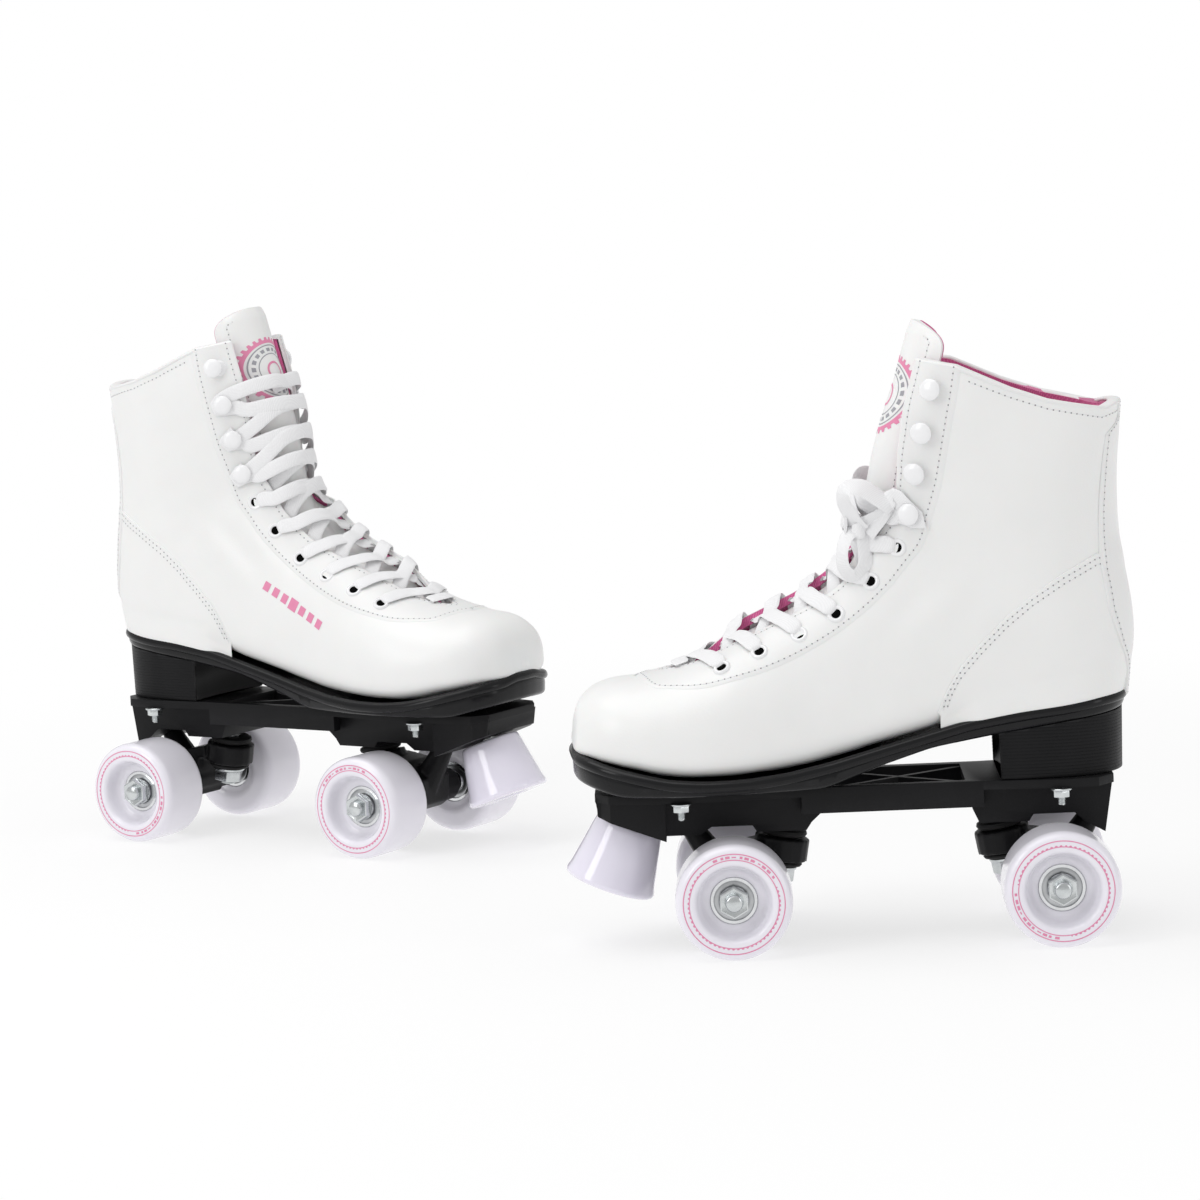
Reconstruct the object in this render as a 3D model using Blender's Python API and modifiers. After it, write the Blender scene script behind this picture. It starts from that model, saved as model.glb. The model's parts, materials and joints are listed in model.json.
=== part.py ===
"""A pair of quad roller skates: two lace-up boots, each on a plate with two steering trucks and four wheels.

One skate is modelled as the right one, in its own frame: X towards the toe, Y to the wearer's left, Z up,
with the origin on the floor midway between the axles. The left skate is its mirror image.
Lengths are in millimetres, and MM turns them into Blender's metres.
"""

import math

import bmesh
import bpy
import numpy as np
from mathutils import Matrix, Vector

MM = 0.001

# Wheels and their bearings
AXLE_X = 75.0  # half the wheelbase
WHEEL_RADIUS = 27.0
WHEEL_WIDTH = 32.0
WHEEL_MID_Y = 44.0
BEARING_RADIUS = 11.0
BEARING_WIDTH = 7.0
BORE_RADIUS = 4.2
DISH_RADIUS = 17.5
DISH_DEPTH = 9.0
INNER_RECESS = 3.0
AXLE_RADIUS = 3.85
AXLE_HALF_LENGTH = 59.6
NUT_ACROSS_FLATS = 13.0
NUT_HEIGHT = 6.0
GAP = 0.3

# Trucks: each hanger turns about the line from its kingpin ring to its pivot tip
RING_CENTRE = (52.0, 42.0)
PIVOT_TIP = (97.0, 58.0)
KINGPIN_LEAN = math.radians(10)
KINGPIN_RADIUS = 4.5
RING_RADIUS = 13.0
RING_HOLE = 7.4
RING_HEIGHT = 11.0
CUSHION_RADIUS = 11.0
HANGER_HALF_WIDTH = 26.0

# Plate
PLATE_TOP = 74.0
FLANGE = 4.0
FRAME_BOTTOM = 62.0
SPINE_HALF_WIDTH = 22.0
RAIL_OUTER = 29.0
RAIL_INNER = 23.5

# Toe stop
STOP_TOP = (122.0, 56.6)
STOP_LEAN = math.radians(21)
STOP_LENGTH = 31.0
STOP_TOP_RADIUS = 15.5
STOP_RADIUS = 21.5

# Boot
UPPER_WALL = 2.2
LINING_WALL = 1.8
TONGUE_WALL = 4.0
AROUND = 16

# The boot's outer surface is a loft through sections that start upright at the toe, fan round the instep
# and end level at the cuff. Each row: the section's front or top point (x, z), its rear or bottom point
# (x, z), half its width, where it is widest from the bottom up, and half the width of the lacing gap.
SECTIONS = (
    (147.4, 101, 147.3, 94.5, 4, 0.50, 0),
    (146.4, 108, 146.8, 92.6, 13, 0.42, 0),
    (143.2, 115.6, 143.8, 91.6, 22, 0.36, 0),
    (137, 121.6, 138, 90.3, 30, 0.32, 0),
    (128, 124.8, 130, 88.2, 36.5, 0.30, 0),
    (116, 126.2, 117, 85.3, 41.5, 0.30, 0),
    (103, 128.2, 103, 82.3, 44.5, 0.30, 0),
    (88, 132.5, 86, 80.9, 45.5, 0.30, 8),
    (71, 141, 67, 81, 44, 0.30, 11),
    (55, 149, 48, 82.6, 40.5, 0.30, 13),
    (40, 157.5, 28, 86, 36.5, 0.30, 14.5),
    (27, 167, 7, 91.2, 34, 0.30, 16),
    (18, 177, -16, 97, 33, 0.30, 17),
    (13, 186, -38, 102.7, 32.5, 0.30, 18),
    (11, 194, -60, 106, 32.5, 0.30, 18.5),
    (10, 201, -82, 108.2, 32.5, 0.31, 19),
    (9.2, 207, -99, 110.6, 32, 0.33, 19.5),
    (8.4, 213, -110, 119, 31.5, 0.36, 20),
    (7.2, 219, -114, 134, 31.5, 0.40, 20.5),
    (5.6, 226, -113.6, 151, 32, 0.44, 21),
    (3.4, 234, -110.8, 170, 33, 0.47, 21.5),
    (0.6, 243, -109, 192, 34, 0.49, 22),
    (-2.6, 252, -109.2, 214, 35, 0.50, 22),
    (-6, 261, -110.8, 232, 35.5, 0.50, 22),
    (-9, 271, -112, 245.5, 35.5, 0.50, 22),
)
THROAT = 6  # the row where the lacing gap starts
WALL_ROWS = (0, 1, 2, 3, 4.5, 6, 7.5, 9, 10.5, 12, 13.5, 15, 16, 17, 18, 19.5, 21, 22.5, 24)
FLAT_BELOW = 14  # rows up to here have a flat bottom, and the heel rounds off after it

# The outsole's outline seen from above: x and half its width
SOLE_OUTLINE = (
    (148.2, 3),
    (147.2, 12),
    (144.5, 22),
    (138.5, 31.5),
    (130, 38.5),
    (117, 44),
    (103, 46.8),
    (85, 47.5),
    (66, 45.8),
    (47, 42),
    (27, 37.5),
    (6, 34.5),
    (-16, 32.8),
    (-38, 32),
    (-60, 31.8),
    (-80, 30.8),
    (-94, 27),
    (-103, 20.5),
    (-108.5, 12),
    (-110.8, 3),
)
# The underside of the outsole seen from the side
SOLE_UNDERSIDE = ((-112, 103), (-83, 100), (-48, 95.3), (-19, 90.5), (4, 83.5), (30, 74.4), (126, 74.4), (148.5, 80))
HEEL_FRONT = -50.0
EYELETS = ((94.5, 129.7), (76, 131.2), (58.5, 137.8), (39.9, 144.9), (22.5, 153.7), (6, 168.1), (-6.6, 183.2))
LOWEST_HOOK = (-12.7, 198.5)
LACE_RADIUS = 1.4

# Where the two skates stand in the pair
RIGHT_PLACE = (153.1, -186.8)
LEFT_PLACE = (-150.9, 143.2)
LEFT_YAW = math.radians(-32)


def new_material(name, colour, roughness, metallic=0.0):
    made = bpy.data.materials.new(name)
    made.use_nodes = True
    shader = made.node_tree.nodes["Principled BSDF"]
    shader.inputs["Base Color"].default_value = (*colour, 1)
    shader.inputs["Roughness"].default_value = roughness
    shader.inputs["Metallic"].default_value = metallic
    return made


def facing_out(bm):
    bmesh.ops.recalc_face_normals(bm, faces=bm.faces)
    if bm.calc_volume(signed=True) < 0:
        bmesh.ops.reverse_faces(bm, faces=bm.faces)


def object_from(bm, name="shape"):
    facing_out(bm)
    mesh = bpy.data.meshes.new(name)
    bm.to_mesh(mesh)
    bm.free()
    obj = bpy.data.objects.new(name, mesh)
    bpy.context.scene.collection.objects.link(obj)
    return obj


def baked(obj):
    """The object with its modifiers and its place turned into plain mesh."""
    bpy.context.view_layer.update()
    shape = obj.evaluated_get(bpy.context.evaluated_depsgraph_get())
    mesh = bpy.data.meshes.new_from_object(shape)
    mesh.transform(obj.matrix_world)
    fresh = bpy.data.objects.new(obj.name, mesh)
    bpy.data.objects.remove(obj)
    bpy.context.scene.collection.objects.link(fresh)
    return fresh


def combined(obj, other, operation):
    cut = obj.modifiers.new(operation.title(), "BOOLEAN")
    cut.operation = operation
    cut.object = other
    result = baked(obj)
    bpy.data.objects.remove(other)
    return result


def union(*shapes):
    result = shapes[0]
    for shape in shapes[1:]:
        result = combined(result, shape, "UNION")
    return result


def cut(obj, *cutters):
    for cutter in cutters:
        obj = combined(obj, cutter, "DIFFERENCE")
    return obj


def turned(profile, steps, flats=True):
    """A ring or a solid from a profile of (radius, height), turned about Z. Its flats or its corners lie at the radii."""
    to_corner = 1 / math.cos(math.pi / steps) if flats else 1
    bm = bmesh.new()
    points = [bm.verts.new((r * to_corner * MM, 0, z * MM)) for r, z in profile]
    for first, second in zip(points, points[1:]):
        bm.edges.new((first, second))
    if profile[0][0] > 0:
        bm.edges.new((points[-1], points[0]))
    obj = object_from(bm)
    screw = obj.modifiers.new("Screw", "SCREW")
    screw.steps = screw.render_steps = steps
    screw.use_merge_vertices = True
    screw.merge_threshold = 0.00001
    obj = baked(obj)
    bm = bmesh.new()
    bm.from_mesh(obj.data)
    facing_out(bm)
    bm.transform(Matrix.Rotation(math.pi / steps, 4, "Z"))
    bm.to_mesh(obj.data)
    bm.free()
    return obj


def rod(radius, start, end, steps=12, end_radius=None):
    """A round bar, or a cone, between two points."""
    start, end = Vector(start), Vector(end)
    bm = bmesh.new()
    bmesh.ops.create_cone(
        bm,
        cap_ends=True,
        segments=steps,
        radius1=radius * MM,
        radius2=(radius if end_radius is None else end_radius) * MM,
        depth=(end - start).length * MM,
    )
    turn = (end - start).to_track_quat("Z", "Y").to_matrix().to_4x4()
    bm.transform(Matrix.Translation((start + end) / 2 * MM) @ turn)
    return object_from(bm)


def block(low, high):
    bm = bmesh.new()
    bmesh.ops.create_cube(bm, size=1)
    low, high = Vector(low), Vector(high)
    bm.transform(Matrix.Translation((low + high) / 2 * MM) @ Matrix.Diagonal((*(high - low) * MM, 1)))
    return object_from(bm)


def side_slab(outline, half_width):
    """An outline in the XZ plane, as thick as twice the half width in Y."""
    return slab([(x, -half_width, z) for x, z in outline], (0, 2 * half_width, 0))


def slab(outline, thickness):
    bm = bmesh.new()
    face = bm.faces.new([bm.verts.new(Vector(p) * MM) for p in outline])
    grown = bmesh.ops.extrude_face_region(bm, geom=[face])["geom"]
    moved = [item for item in grown if isinstance(item, bmesh.types.BMVert)]
    bmesh.ops.translate(bm, verts=moved, vec=Vector(thickness) * MM)
    return object_from(bm)


def lofted(rings, closed_rings=True, caps=True):
    """Faces between rings of points, one after the other."""
    bm = bmesh.new()
    rows = [[bm.verts.new(Vector(p) * MM) for p in ring] for ring in rings]
    count = len(rows[0])
    for low, high in zip(rows, rows[1:]):
        for i in range(count if closed_rings else count - 1):
            j = (i + 1) % count
            bm.faces.new((low[i], low[j], high[j], high[i]))
    if caps:
        bm.faces.new(rows[0])
        bm.faces.new(rows[-1])
    return object_from(bm)


def along_x(points, x):
    xs, zs = zip(*sorted(points))
    return float(np.interp(x, xs, zs))


def smooth_row(u):
    """The row of SECTIONS at a fractional place, on a Catmull-Rom curve through the rows."""
    rows = np.array(SECTIONS, float)
    i = min(int(u), len(rows) - 2)
    t = u - i
    before, after = rows[max(i - 1, 0)], rows[min(i + 2, len(rows) - 1)]
    here, there = rows[i], rows[i + 1]
    return 0.5 * (
        2 * here
        + (there - before) * t
        + (2 * before - 5 * here + 4 * there - after) * t**2
        + (3 * here - 3 * there + after - before) * t**3
    )


CUFF = ((-112, 246), (-102, 242.8), (-77, 248.3), (-60, 254.5), (-36, 265.5), (-22.7, 268), (-9, 271))


def boot_point(u, angle, inset=0.0):
    """A point of the boot's outer surface, or of one inset below it. The angle is 0 at the front centreline and pi under the foot."""
    top_x, top_z, low_x, low_z, half_width, widest, _ = smooth_row(u)
    heel = min(max((u - FLAT_BELOW) / 4, 0), 1)
    above, below = 2.2, 4.0 - 1.7 * heel
    sine, cosine = abs(math.sin(angle)), math.cos(angle)
    if cosine >= 0:
        power, share = above, widest + (1 - widest) * cosine ** (2 / above)
    else:
        power, share = below, widest - widest * (-cosine) ** (2 / below)
    length = math.hypot(top_x - low_x, top_z - low_z)
    share = (inset + share * (length - 2 * inset)) / length
    x = low_x + share * (top_x - low_x)
    z = low_z + share * (top_z - low_z)
    y = max(half_width - inset, 0.5) * sine ** (2 / power) * math.copysign(1, math.sin(angle))
    near_cuff = min(max((u - 19) / 5, 0), 1) ** 2
    straight = 271 + (x + 9) * (271 - 245.5) / 103
    return Vector((x, y, z + near_cuff * (along_x(CUFF, x) - straight)))


def angle_at(u, across):
    """The angle on the upper half of a section at which it is this far from the centreline."""
    half_width = smooth_row(u)[4]
    return math.asin(min(across / half_width, 1) ** 1.1)


def boot_shell(inset, first, wall):
    """The boot's surface, or one inset below it, as a thin wall, open at the cuff and along the lacing gap."""
    rings = []
    for u in WALL_ROWS[first:]:
        gap = smooth_row(u)[6] if u > THROAT else 0
        start = angle_at(u, gap) if gap else 0.0
        # The first and last point of a ring ahead of the throat are the same, and weld together.
        rings.append(
            [boot_point(u, start + (2 * math.pi - 2 * start) * i / AROUND) for i in range(AROUND + 1)]
        )
    shell = lofted(rings, closed_rings=False, caps=False)
    bm = bmesh.new()
    bm.from_mesh(shell.data)
    bmesh.ops.remove_doubles(bm, verts=bm.verts, dist=0.00001)
    toe = [edge for edge in bm.edges if edge.is_boundary and edge.verts[0].co.x > (SECTIONS[first][0] - 3) * MM]
    bmesh.ops.holes_fill(bm, edges=toe)
    bmesh.ops.recalc_face_normals(bm, faces=bm.faces)
    bm.normal_update()
    inward = [(vert, vert.co - vert.normal * vert.calc_shell_factor() * inset * MM) for vert in bm.verts]
    for vert, place in inward:
        vert.co = place
    bm.to_mesh(shell.data)
    bm.free()
    solid = shell.modifiers.new("Wall", "SOLIDIFY")
    solid.thickness = wall * MM
    solid.use_even_offset = True
    solid.offset = -1
    return baked(shell)


def upper():
    return boot_shell(0, 0, UPPER_WALL)


def lining():
    return boot_shell(UPPER_WALL + GAP, 0, LINING_WALL)


def tongue():
    """A padded strip under the lacing gap, from the throat to above the cuff."""
    rings = []
    top = len(SECTIONS) - 1
    base = UPPER_WALL + LINING_WALL + 8 * GAP
    for u in np.linspace(THROAT + 0.5, top, 10):
        rings.append(tongue_ring(u, base))
    for lift, narrow in ((7, 0.97), (12, 0.85), (15.5, 0.6)):
        rings.append([p + Vector((-lift * 0.3, 0, lift)) for p in tongue_ring(top, base, narrow)])
    return lofted(rings)


def tongue_ring(u, base, narrow=1.0):
    half = min(smooth_row(u)[4] - base - 2.5, 20 + 0.35 * (u - THROAT)) * narrow
    steps = 3
    outer, inner = [], []
    for i in range(-steps, steps + 1):
        across = half * i / steps
        gap = max(smooth_row(u)[6] - 2, 1)
        rise = max(0, 1 - abs(across) / gap) * (1.2 if u < 13 else 3.2)
        angle = math.copysign(angle_at(u, abs(across)), across)
        outer.append(boot_point(u, angle, base - rise))
        inner.append(boot_point(u, angle, base + TONGUE_WALL))
    return outer + inner[::-1]


def outsole():
    rings = []
    for x, half_width in SOLE_OUTLINE:
        top = along_x([(row[2], row[3]) for row in SECTIONS[:17]] + [(-112, 111.5)], x) - 4 * GAP
        low = along_x(SOLE_UNDERSIDE, x)
        lip = min(2.2, half_width / 2)
        side = ((half_width - lip, top), (half_width, top - lip), (half_width, low + lip), (half_width - lip, low))
        rings.append([(x, y, z) for y, z in side] + [(x, -y, z) for y, z in reversed(side)])
    return lofted(rings)


def heel_block():
    outline = [(HEEL_FRONT, 29.5), (-62, 30), (-80, 28.8), (-94, 25), (-103, 18.5), (-107.5, 10), (-109, 2)]
    rings = []
    for x, half_width in outline:
        top = along_x(SOLE_UNDERSIDE, x) - GAP
        rings.append([(x, half_width, top), (x, half_width - 0.8, PLATE_TOP + GAP)])
        rings[-1] += [(x, -half_width + 0.8, PLATE_TOP + GAP), (x, -half_width, top)]
    return lofted(rings)


def insole():
    """A footbed on the lining's floor, from the ball to the heel."""
    rings = []
    deep = UPPER_WALL + LINING_WALL + 3 * GAP
    for u in range(4, 16):
        low_x, low_z, half_width = smooth_row(u)[2:5]
        half_width = (half_width - deep) * (0.66 if u < 15 else 0.58)
        floor = low_z + deep + 1.8
        rings.append([(low_x, y, z) for y, z in ((-half_width, floor), (half_width, floor))])
        rings[-1] += [(low_x, half_width, floor + 2.5), (low_x, -half_width, floor + 2.5)]
    return lofted(rings)


def skin_point(x, z, side, lift):
    """The place on the boot's side seen at this x and z, lifted off the surface."""
    best, found = 1e9, None
    for u in np.arange(THROAT, 20, 0.25):
        for across in np.arange(12, 30, 1.0):
            p = boot_point(u, angle_at(u, across))
            miss = math.hypot(p.x - x, p.z - z)
            if miss < best:
                best, found = miss, (u, across)
    u, across = found
    p = boot_point(u, angle_at(u, across), -lift)
    return Vector((p.x, side * p.y, p.z)), u


def laces():
    """One lace run back and forth over the gap and once round the lowest hooks, as a plain round cord."""
    route = []
    side = 1
    for x, z in EYELETS + (LOWEST_HOOK,):
        for turn in (side, -side):
            point, u = skin_point(x, z, turn, 3)
            route.append(point)
            if turn == side:
                for share in (0.55, 0, -0.55):
                    across = abs(point.y) * share * side
                    angle = math.copysign(angle_at(u, abs(across)), across)
                    route.append(boot_point(u, angle, -3))
        side = -side
    curve = bpy.data.curves.new("lace", "CURVE")
    curve.dimensions = "3D"
    curve.bevel_depth = LACE_RADIUS * MM
    curve.bevel_resolution = 1
    curve.use_fill_caps = True
    spline = curve.splines.new("POLY")
    spline.points.add(len(route) - 1)
    for place, point in zip(spline.points, route):
        place.co = (*(point * MM), 1)
    obj = bpy.data.objects.new("lace", curve)
    bpy.context.scene.collection.objects.link(obj)
    obj = baked(obj)
    bm = bmesh.new()
    bm.from_mesh(obj.data)
    bmesh.ops.remove_doubles(bm, verts=bm.verts, dist=0.000001)
    bm.to_mesh(obj.data)
    bm.free()
    return obj


def plate():
    flange_outline = [(137.5, 21), (131, 29), (112, 33), (84, 33), (60, 31), (40, 29), (-42, 29), (-62, 31)]
    flange_outline += [(-80, 33), (-95, 31), (-102.5, 22)]
    outline = flange_outline + [(x, -y) for x, y in reversed(flange_outline)]
    flange = slab([(x, y, PLATE_TOP - FLANGE) for x, y in outline], (0, 0, FLANGE))
    slope = math.tan(STOP_LEAN)
    front = [(137.5, 72), (136, 53 + 26 * slope), (110, 53), (89, 53), (84, 56.5), (65, 56.5), (63, 53.3)]
    front += [(40, 53.3), (37.5, 57), (32, FRAME_BOTTOM), (27, 72)]
    rear = [(-35, 72), (-37, 60), (-40, 53.3), (-63, 53.3), (-65, 56.5), (-84, 56.5), (-89, 52), (-98, 47), (-102, 72)]
    nose_outline = [(136.6, -20.5), (136.6, 20.5), (130.5, 27), (105, 27), (105, -27), (130.5, -27)]
    nose = slab([(x, y, 53 + slope * (x - 110)) for x, y in nose_outline], (0, 0, PLATE_TOP - 1 - 51))
    nose = cut(nose, block((95, -40, PLATE_TOP - 1), (150, 40, PLATE_TOP + 40)))
    frame = union(flange, side_slab(front, SPINE_HALF_WIDTH), side_slab(rear, SPINE_HALF_WIDTH), nose)
    for side in (-1, 1):
        low, high = sorted((side * RAIL_INNER, side * RAIL_OUTER))
        frame = union(frame, block((-42, low, FRAME_BOTTOM), (42, high, PLATE_TOP - 1)))
    frame = cut(frame, block((-34, -RAIL_INNER, 40), (26, RAIL_INNER, 90)))
    for side in (-1, 1):
        start, end = Vector((-35, -side * 23, 63)), Vector((27, side * 23, 63))
        across = Vector((0, 1.8, 0))
        rib = slab([start - across, start + across, end + across, end - across], (0, 0, 10))
        frame = union(frame, rib)
    for end in (-1, 1):
        ring, tip = Vector((end * RING_CENTRE[0], 0, RING_CENTRE[1])), Vector((end * PIVOT_TIP[0], 0, PIVOT_TIP[1]))
        up = kingpin_up(end)
        arm = (tip - arm_root(end)).normalized()
        hole = rod(KINGPIN_RADIUS + 0.6, ring, ring + up * 27, 12)
        pocket = rod(10.6, tip - arm * 24, tip + arm * 5, 16, end_radius=5.9)
        frame = cut(frame, hole, pocket)
    down = stop_axis()
    top = Vector((STOP_TOP[0], 0, STOP_TOP[1]))
    return cut(frame, rod(4.6, top + down * 2, top - down * 13, 12))


def kingpin_up(end):
    return Vector((-end * math.sin(KINGPIN_LEAN), 0, math.cos(KINGPIN_LEAN)))


def arm_root(end):
    return Vector((end * 79.0, 0, 31.0))


def stop_axis():
    """The direction from the plate down the middle of the toe stop."""
    return Vector((math.sin(STOP_LEAN), 0, -math.cos(STOP_LEAN)))


def placed(obj, origin, direction):
    """A turned shape set with its Z axis along a direction, in millimetres."""
    turn = Vector(direction).to_track_quat("Z", "Y").to_matrix().to_4x4()
    obj.data.transform(Matrix.Translation(Vector(origin) * MM) @ turn)
    return obj


def toe_stop():
    bottom = STOP_LENGTH
    profile = [(STOP_TOP_RADIUS, 0), (STOP_RADIUS - 0.3, bottom - 4), (STOP_RADIUS, bottom - 2.5)]
    profile += [(STOP_RADIUS - 2, bottom), (9, bottom), (9, bottom - 8), (4.7, bottom - 8), (4.7, 0)]
    profile = [(r, z + GAP) for r, z in profile]
    return placed(turned(profile, 16), (STOP_TOP[0], 0, STOP_TOP[1]), stop_axis())


def toe_stop_bolt():
    shoulder = STOP_LENGTH + GAP - 8
    profile = [(0, -11), (4, -11), (4, shoulder + GAP), (7.5, shoulder + GAP), (7.5, shoulder + 5), (0, shoulder + 5)]
    return placed(turned(profile, 10, flats=False), (STOP_TOP[0], 0, STOP_TOP[1]), stop_axis())


def hanger(end):
    ring = Vector((end * RING_CENTRE[0], 0, RING_CENTRE[1]))
    up = kingpin_up(end)
    half = up * RING_HEIGHT / 2
    axle = Vector((end * AXLE_X, 0, WHEEL_RADIUS))
    tip = Vector((end * PIVOT_TIP[0], 0, PIVOT_TIP[1]))
    outline = [(60, 40), (60, 46.5), (74, 44), (86, 35), (85, 21), (80, 17.5), (70, 17.5), (65.5, 34), (64, 40)]
    outline = [(end * x, z) for x, z in outline]
    side = Vector((0, HANGER_HALF_WIDTH, 0))
    shoulder = Vector((0, WHEEL_MID_Y - WHEEL_WIDTH / 2 + INNER_RECESS - GAP, 0))
    body = union(
        side_slab(outline, 13),
        rod(9, axle - side, axle + side, 12),
        rod(6, axle - shoulder, axle + shoulder, 10),
        rod(RING_RADIUS, ring - half, ring + half, 16),
        rod(8.2, arm_root(end), tip, 10, end_radius=4.4),
    )
    far = Vector((0, 70, 0))
    return cut(body, rod(BORE_RADIUS + 0.1, axle - far, axle + far, 12), rod(RING_HOLE, ring - up * 9, ring + up * 9, 14))


def cushions(end):
    """The two elastic cushions of a truck with the neck between them, as one piece round the kingpin."""
    half = RING_HEIGHT / 2 + GAP
    hole = KINGPIN_RADIUS + 0.4
    profile = [(CUSHION_RADIUS - 1.5, half + 3.4), (CUSHION_RADIUS, half), (6.8, half), (6.8, -half)]
    profile += [(CUSHION_RADIUS, -half), (CUSHION_RADIUS - 0.5, -half - 2.2), (hole, -half - 2.2), (hole, half + 3.4)]
    return placed(turned(profile, 12, flats=False), (end * RING_CENTRE[0], 0, RING_CENTRE[1]), kingpin_up(end))


def kingpin(end):
    """The kingpin with its washer and nut below."""
    nut_top = -(RING_HEIGHT / 2 + 2 * GAP + 2.2)
    radius = KINGPIN_RADIUS
    profile = [(0, 26), (radius, 26), (radius, nut_top), (8.6, nut_top), (8.6, nut_top - 1.4), (7, nut_top - 1.4)]
    profile += [(7, nut_top - 7.5), (radius, nut_top - 7.5), (radius, nut_top - 9), (0, nut_top - 9)]
    return placed(turned(profile, 10, flats=False), (end * RING_CENTRE[0], 0, RING_CENTRE[1]), kingpin_up(end))


def wheel():
    """A wheel about the origin, its outer face towards +Y."""
    half, radius, bore = WHEEL_WIDTH / 2, WHEEL_RADIUS, BEARING_RADIUS + GAP
    seat = half - DISH_DEPTH
    inner = -half + INNER_RECESS
    hub = (inner + BEARING_WIDTH + GAP, seat - BEARING_WIDTH - GAP)
    profile = [(DISH_RADIUS, half), (24.5, half), (radius, half - 4), (radius, -half + 4), (24.5, -half)]
    profile += [(bore + 1, -half), (bore, hub[0]), (9, hub[0]), (9, hub[1]), (bore, hub[1]), (bore, seat)]
    profile += [(DISH_RADIUS - 2.5, seat)]
    return placed(turned(profile, 16), (0, 0, 0), (0, 1, 0))


def bearing_set():
    """The two ball bearings of a wheel and the spacer between them."""
    outer = WHEEL_WIDTH / 2 - DISH_DEPTH
    inner = -WHEEL_WIDTH / 2 + INNER_RECESS
    profile = [(BEARING_RADIUS, outer), (BEARING_RADIUS, outer - BEARING_WIDTH), (6, outer - BEARING_WIDTH)]
    profile += [(6, inner + BEARING_WIDTH), (BEARING_RADIUS, inner + BEARING_WIDTH), (BEARING_RADIUS, inner)]
    profile += [(BORE_RADIUS, inner), (BORE_RADIUS, outer)]
    return placed(turned(profile, 12, flats=False), (0, 0, 0), (0, 1, 0))


def axle_nut():
    low = WHEEL_WIDTH / 2 - DISH_DEPTH + GAP
    flats = NUT_ACROSS_FLATS / 2
    profile = [(flats, low + NUT_HEIGHT), (flats, low), (BORE_RADIUS, low), (BORE_RADIUS, low + NUT_HEIGHT)]
    return placed(turned(profile, 6), (0, 0, 0), (0, 1, 0))


def axle(end):
    middle = Vector((end * AXLE_X, 0, WHEEL_RADIUS))
    reach = Vector((0, AXLE_HALF_LENGTH, 0))
    return rod(AXLE_RADIUS, middle - reach, middle + reach, 12)


def skate_pieces():
    """Each piece of one skate: its name, shape, material, the empty it hangs on and its origin."""
    centre = (0, 0, 0)
    yield "upper", upper(), "leather", "boot", centre
    yield "lining", lining(), "lining", "boot", centre
    yield "tongue", tongue(), "leather", "boot", centre
    yield "insole", insole(), "lining", "boot", centre
    yield "outsole", outsole(), "sole", "boot", centre
    yield "heel_block", heel_block(), "sole", "boot", centre
    yield "laces", laces(), "lace", "boot", centre
    yield "plate", plate(), "nylon", "boot", centre
    yield "toe_stop", toe_stop(), "urethane", "boot", centre
    yield "toe_stop_bolt", toe_stop_bolt(), "steel", "boot", centre
    for place, end in (("front", 1), ("rear", -1)):
        truck = f"{place}_truck"
        pivot = (end * RING_CENTRE[0], 0, RING_CENTRE[1])
        middle = (end * AXLE_X, 0, WHEEL_RADIUS)
        yield f"{place}_kingpin", kingpin(end), "steel", "boot", centre
        yield f"{place}_cushions", cushions(end), "rubber", "boot", centre
        yield f"{place}_hanger", hanger(end), "nylon", truck, pivot
        yield f"{place}_axle", axle(end), "steel", truck, middle
        for side, out in (("inner", 1), ("outer", -1)):
            spot = (end * AXLE_X, out * WHEEL_MID_Y, WHEEL_RADIUS)
            corner = f"{place}_{side}"
            yield f"{corner}_wheel", at_corner(wheel(), spot, out), "wheel", truck, spot
            yield f"{corner}_bearings", at_corner(bearing_set(), spot, out), "steel", truck, spot
            yield f"{corner}_nut", at_corner(axle_nut(), spot, out), "steel", truck, spot


def at_corner(obj, spot, out):
    if out < 0:
        obj.data.transform(Matrix.Rotation(math.pi, 4, "Z"))
    obj.data.transform(Matrix.Translation(Vector(spot) * MM))
    return obj


def empty(name, parent=None, location=(0, 0, 0)):
    made = bpy.data.objects.new(name, None)
    made.parent = parent
    made.location = Vector(location) * MM
    bpy.context.scene.collection.objects.link(made)
    return made


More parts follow.
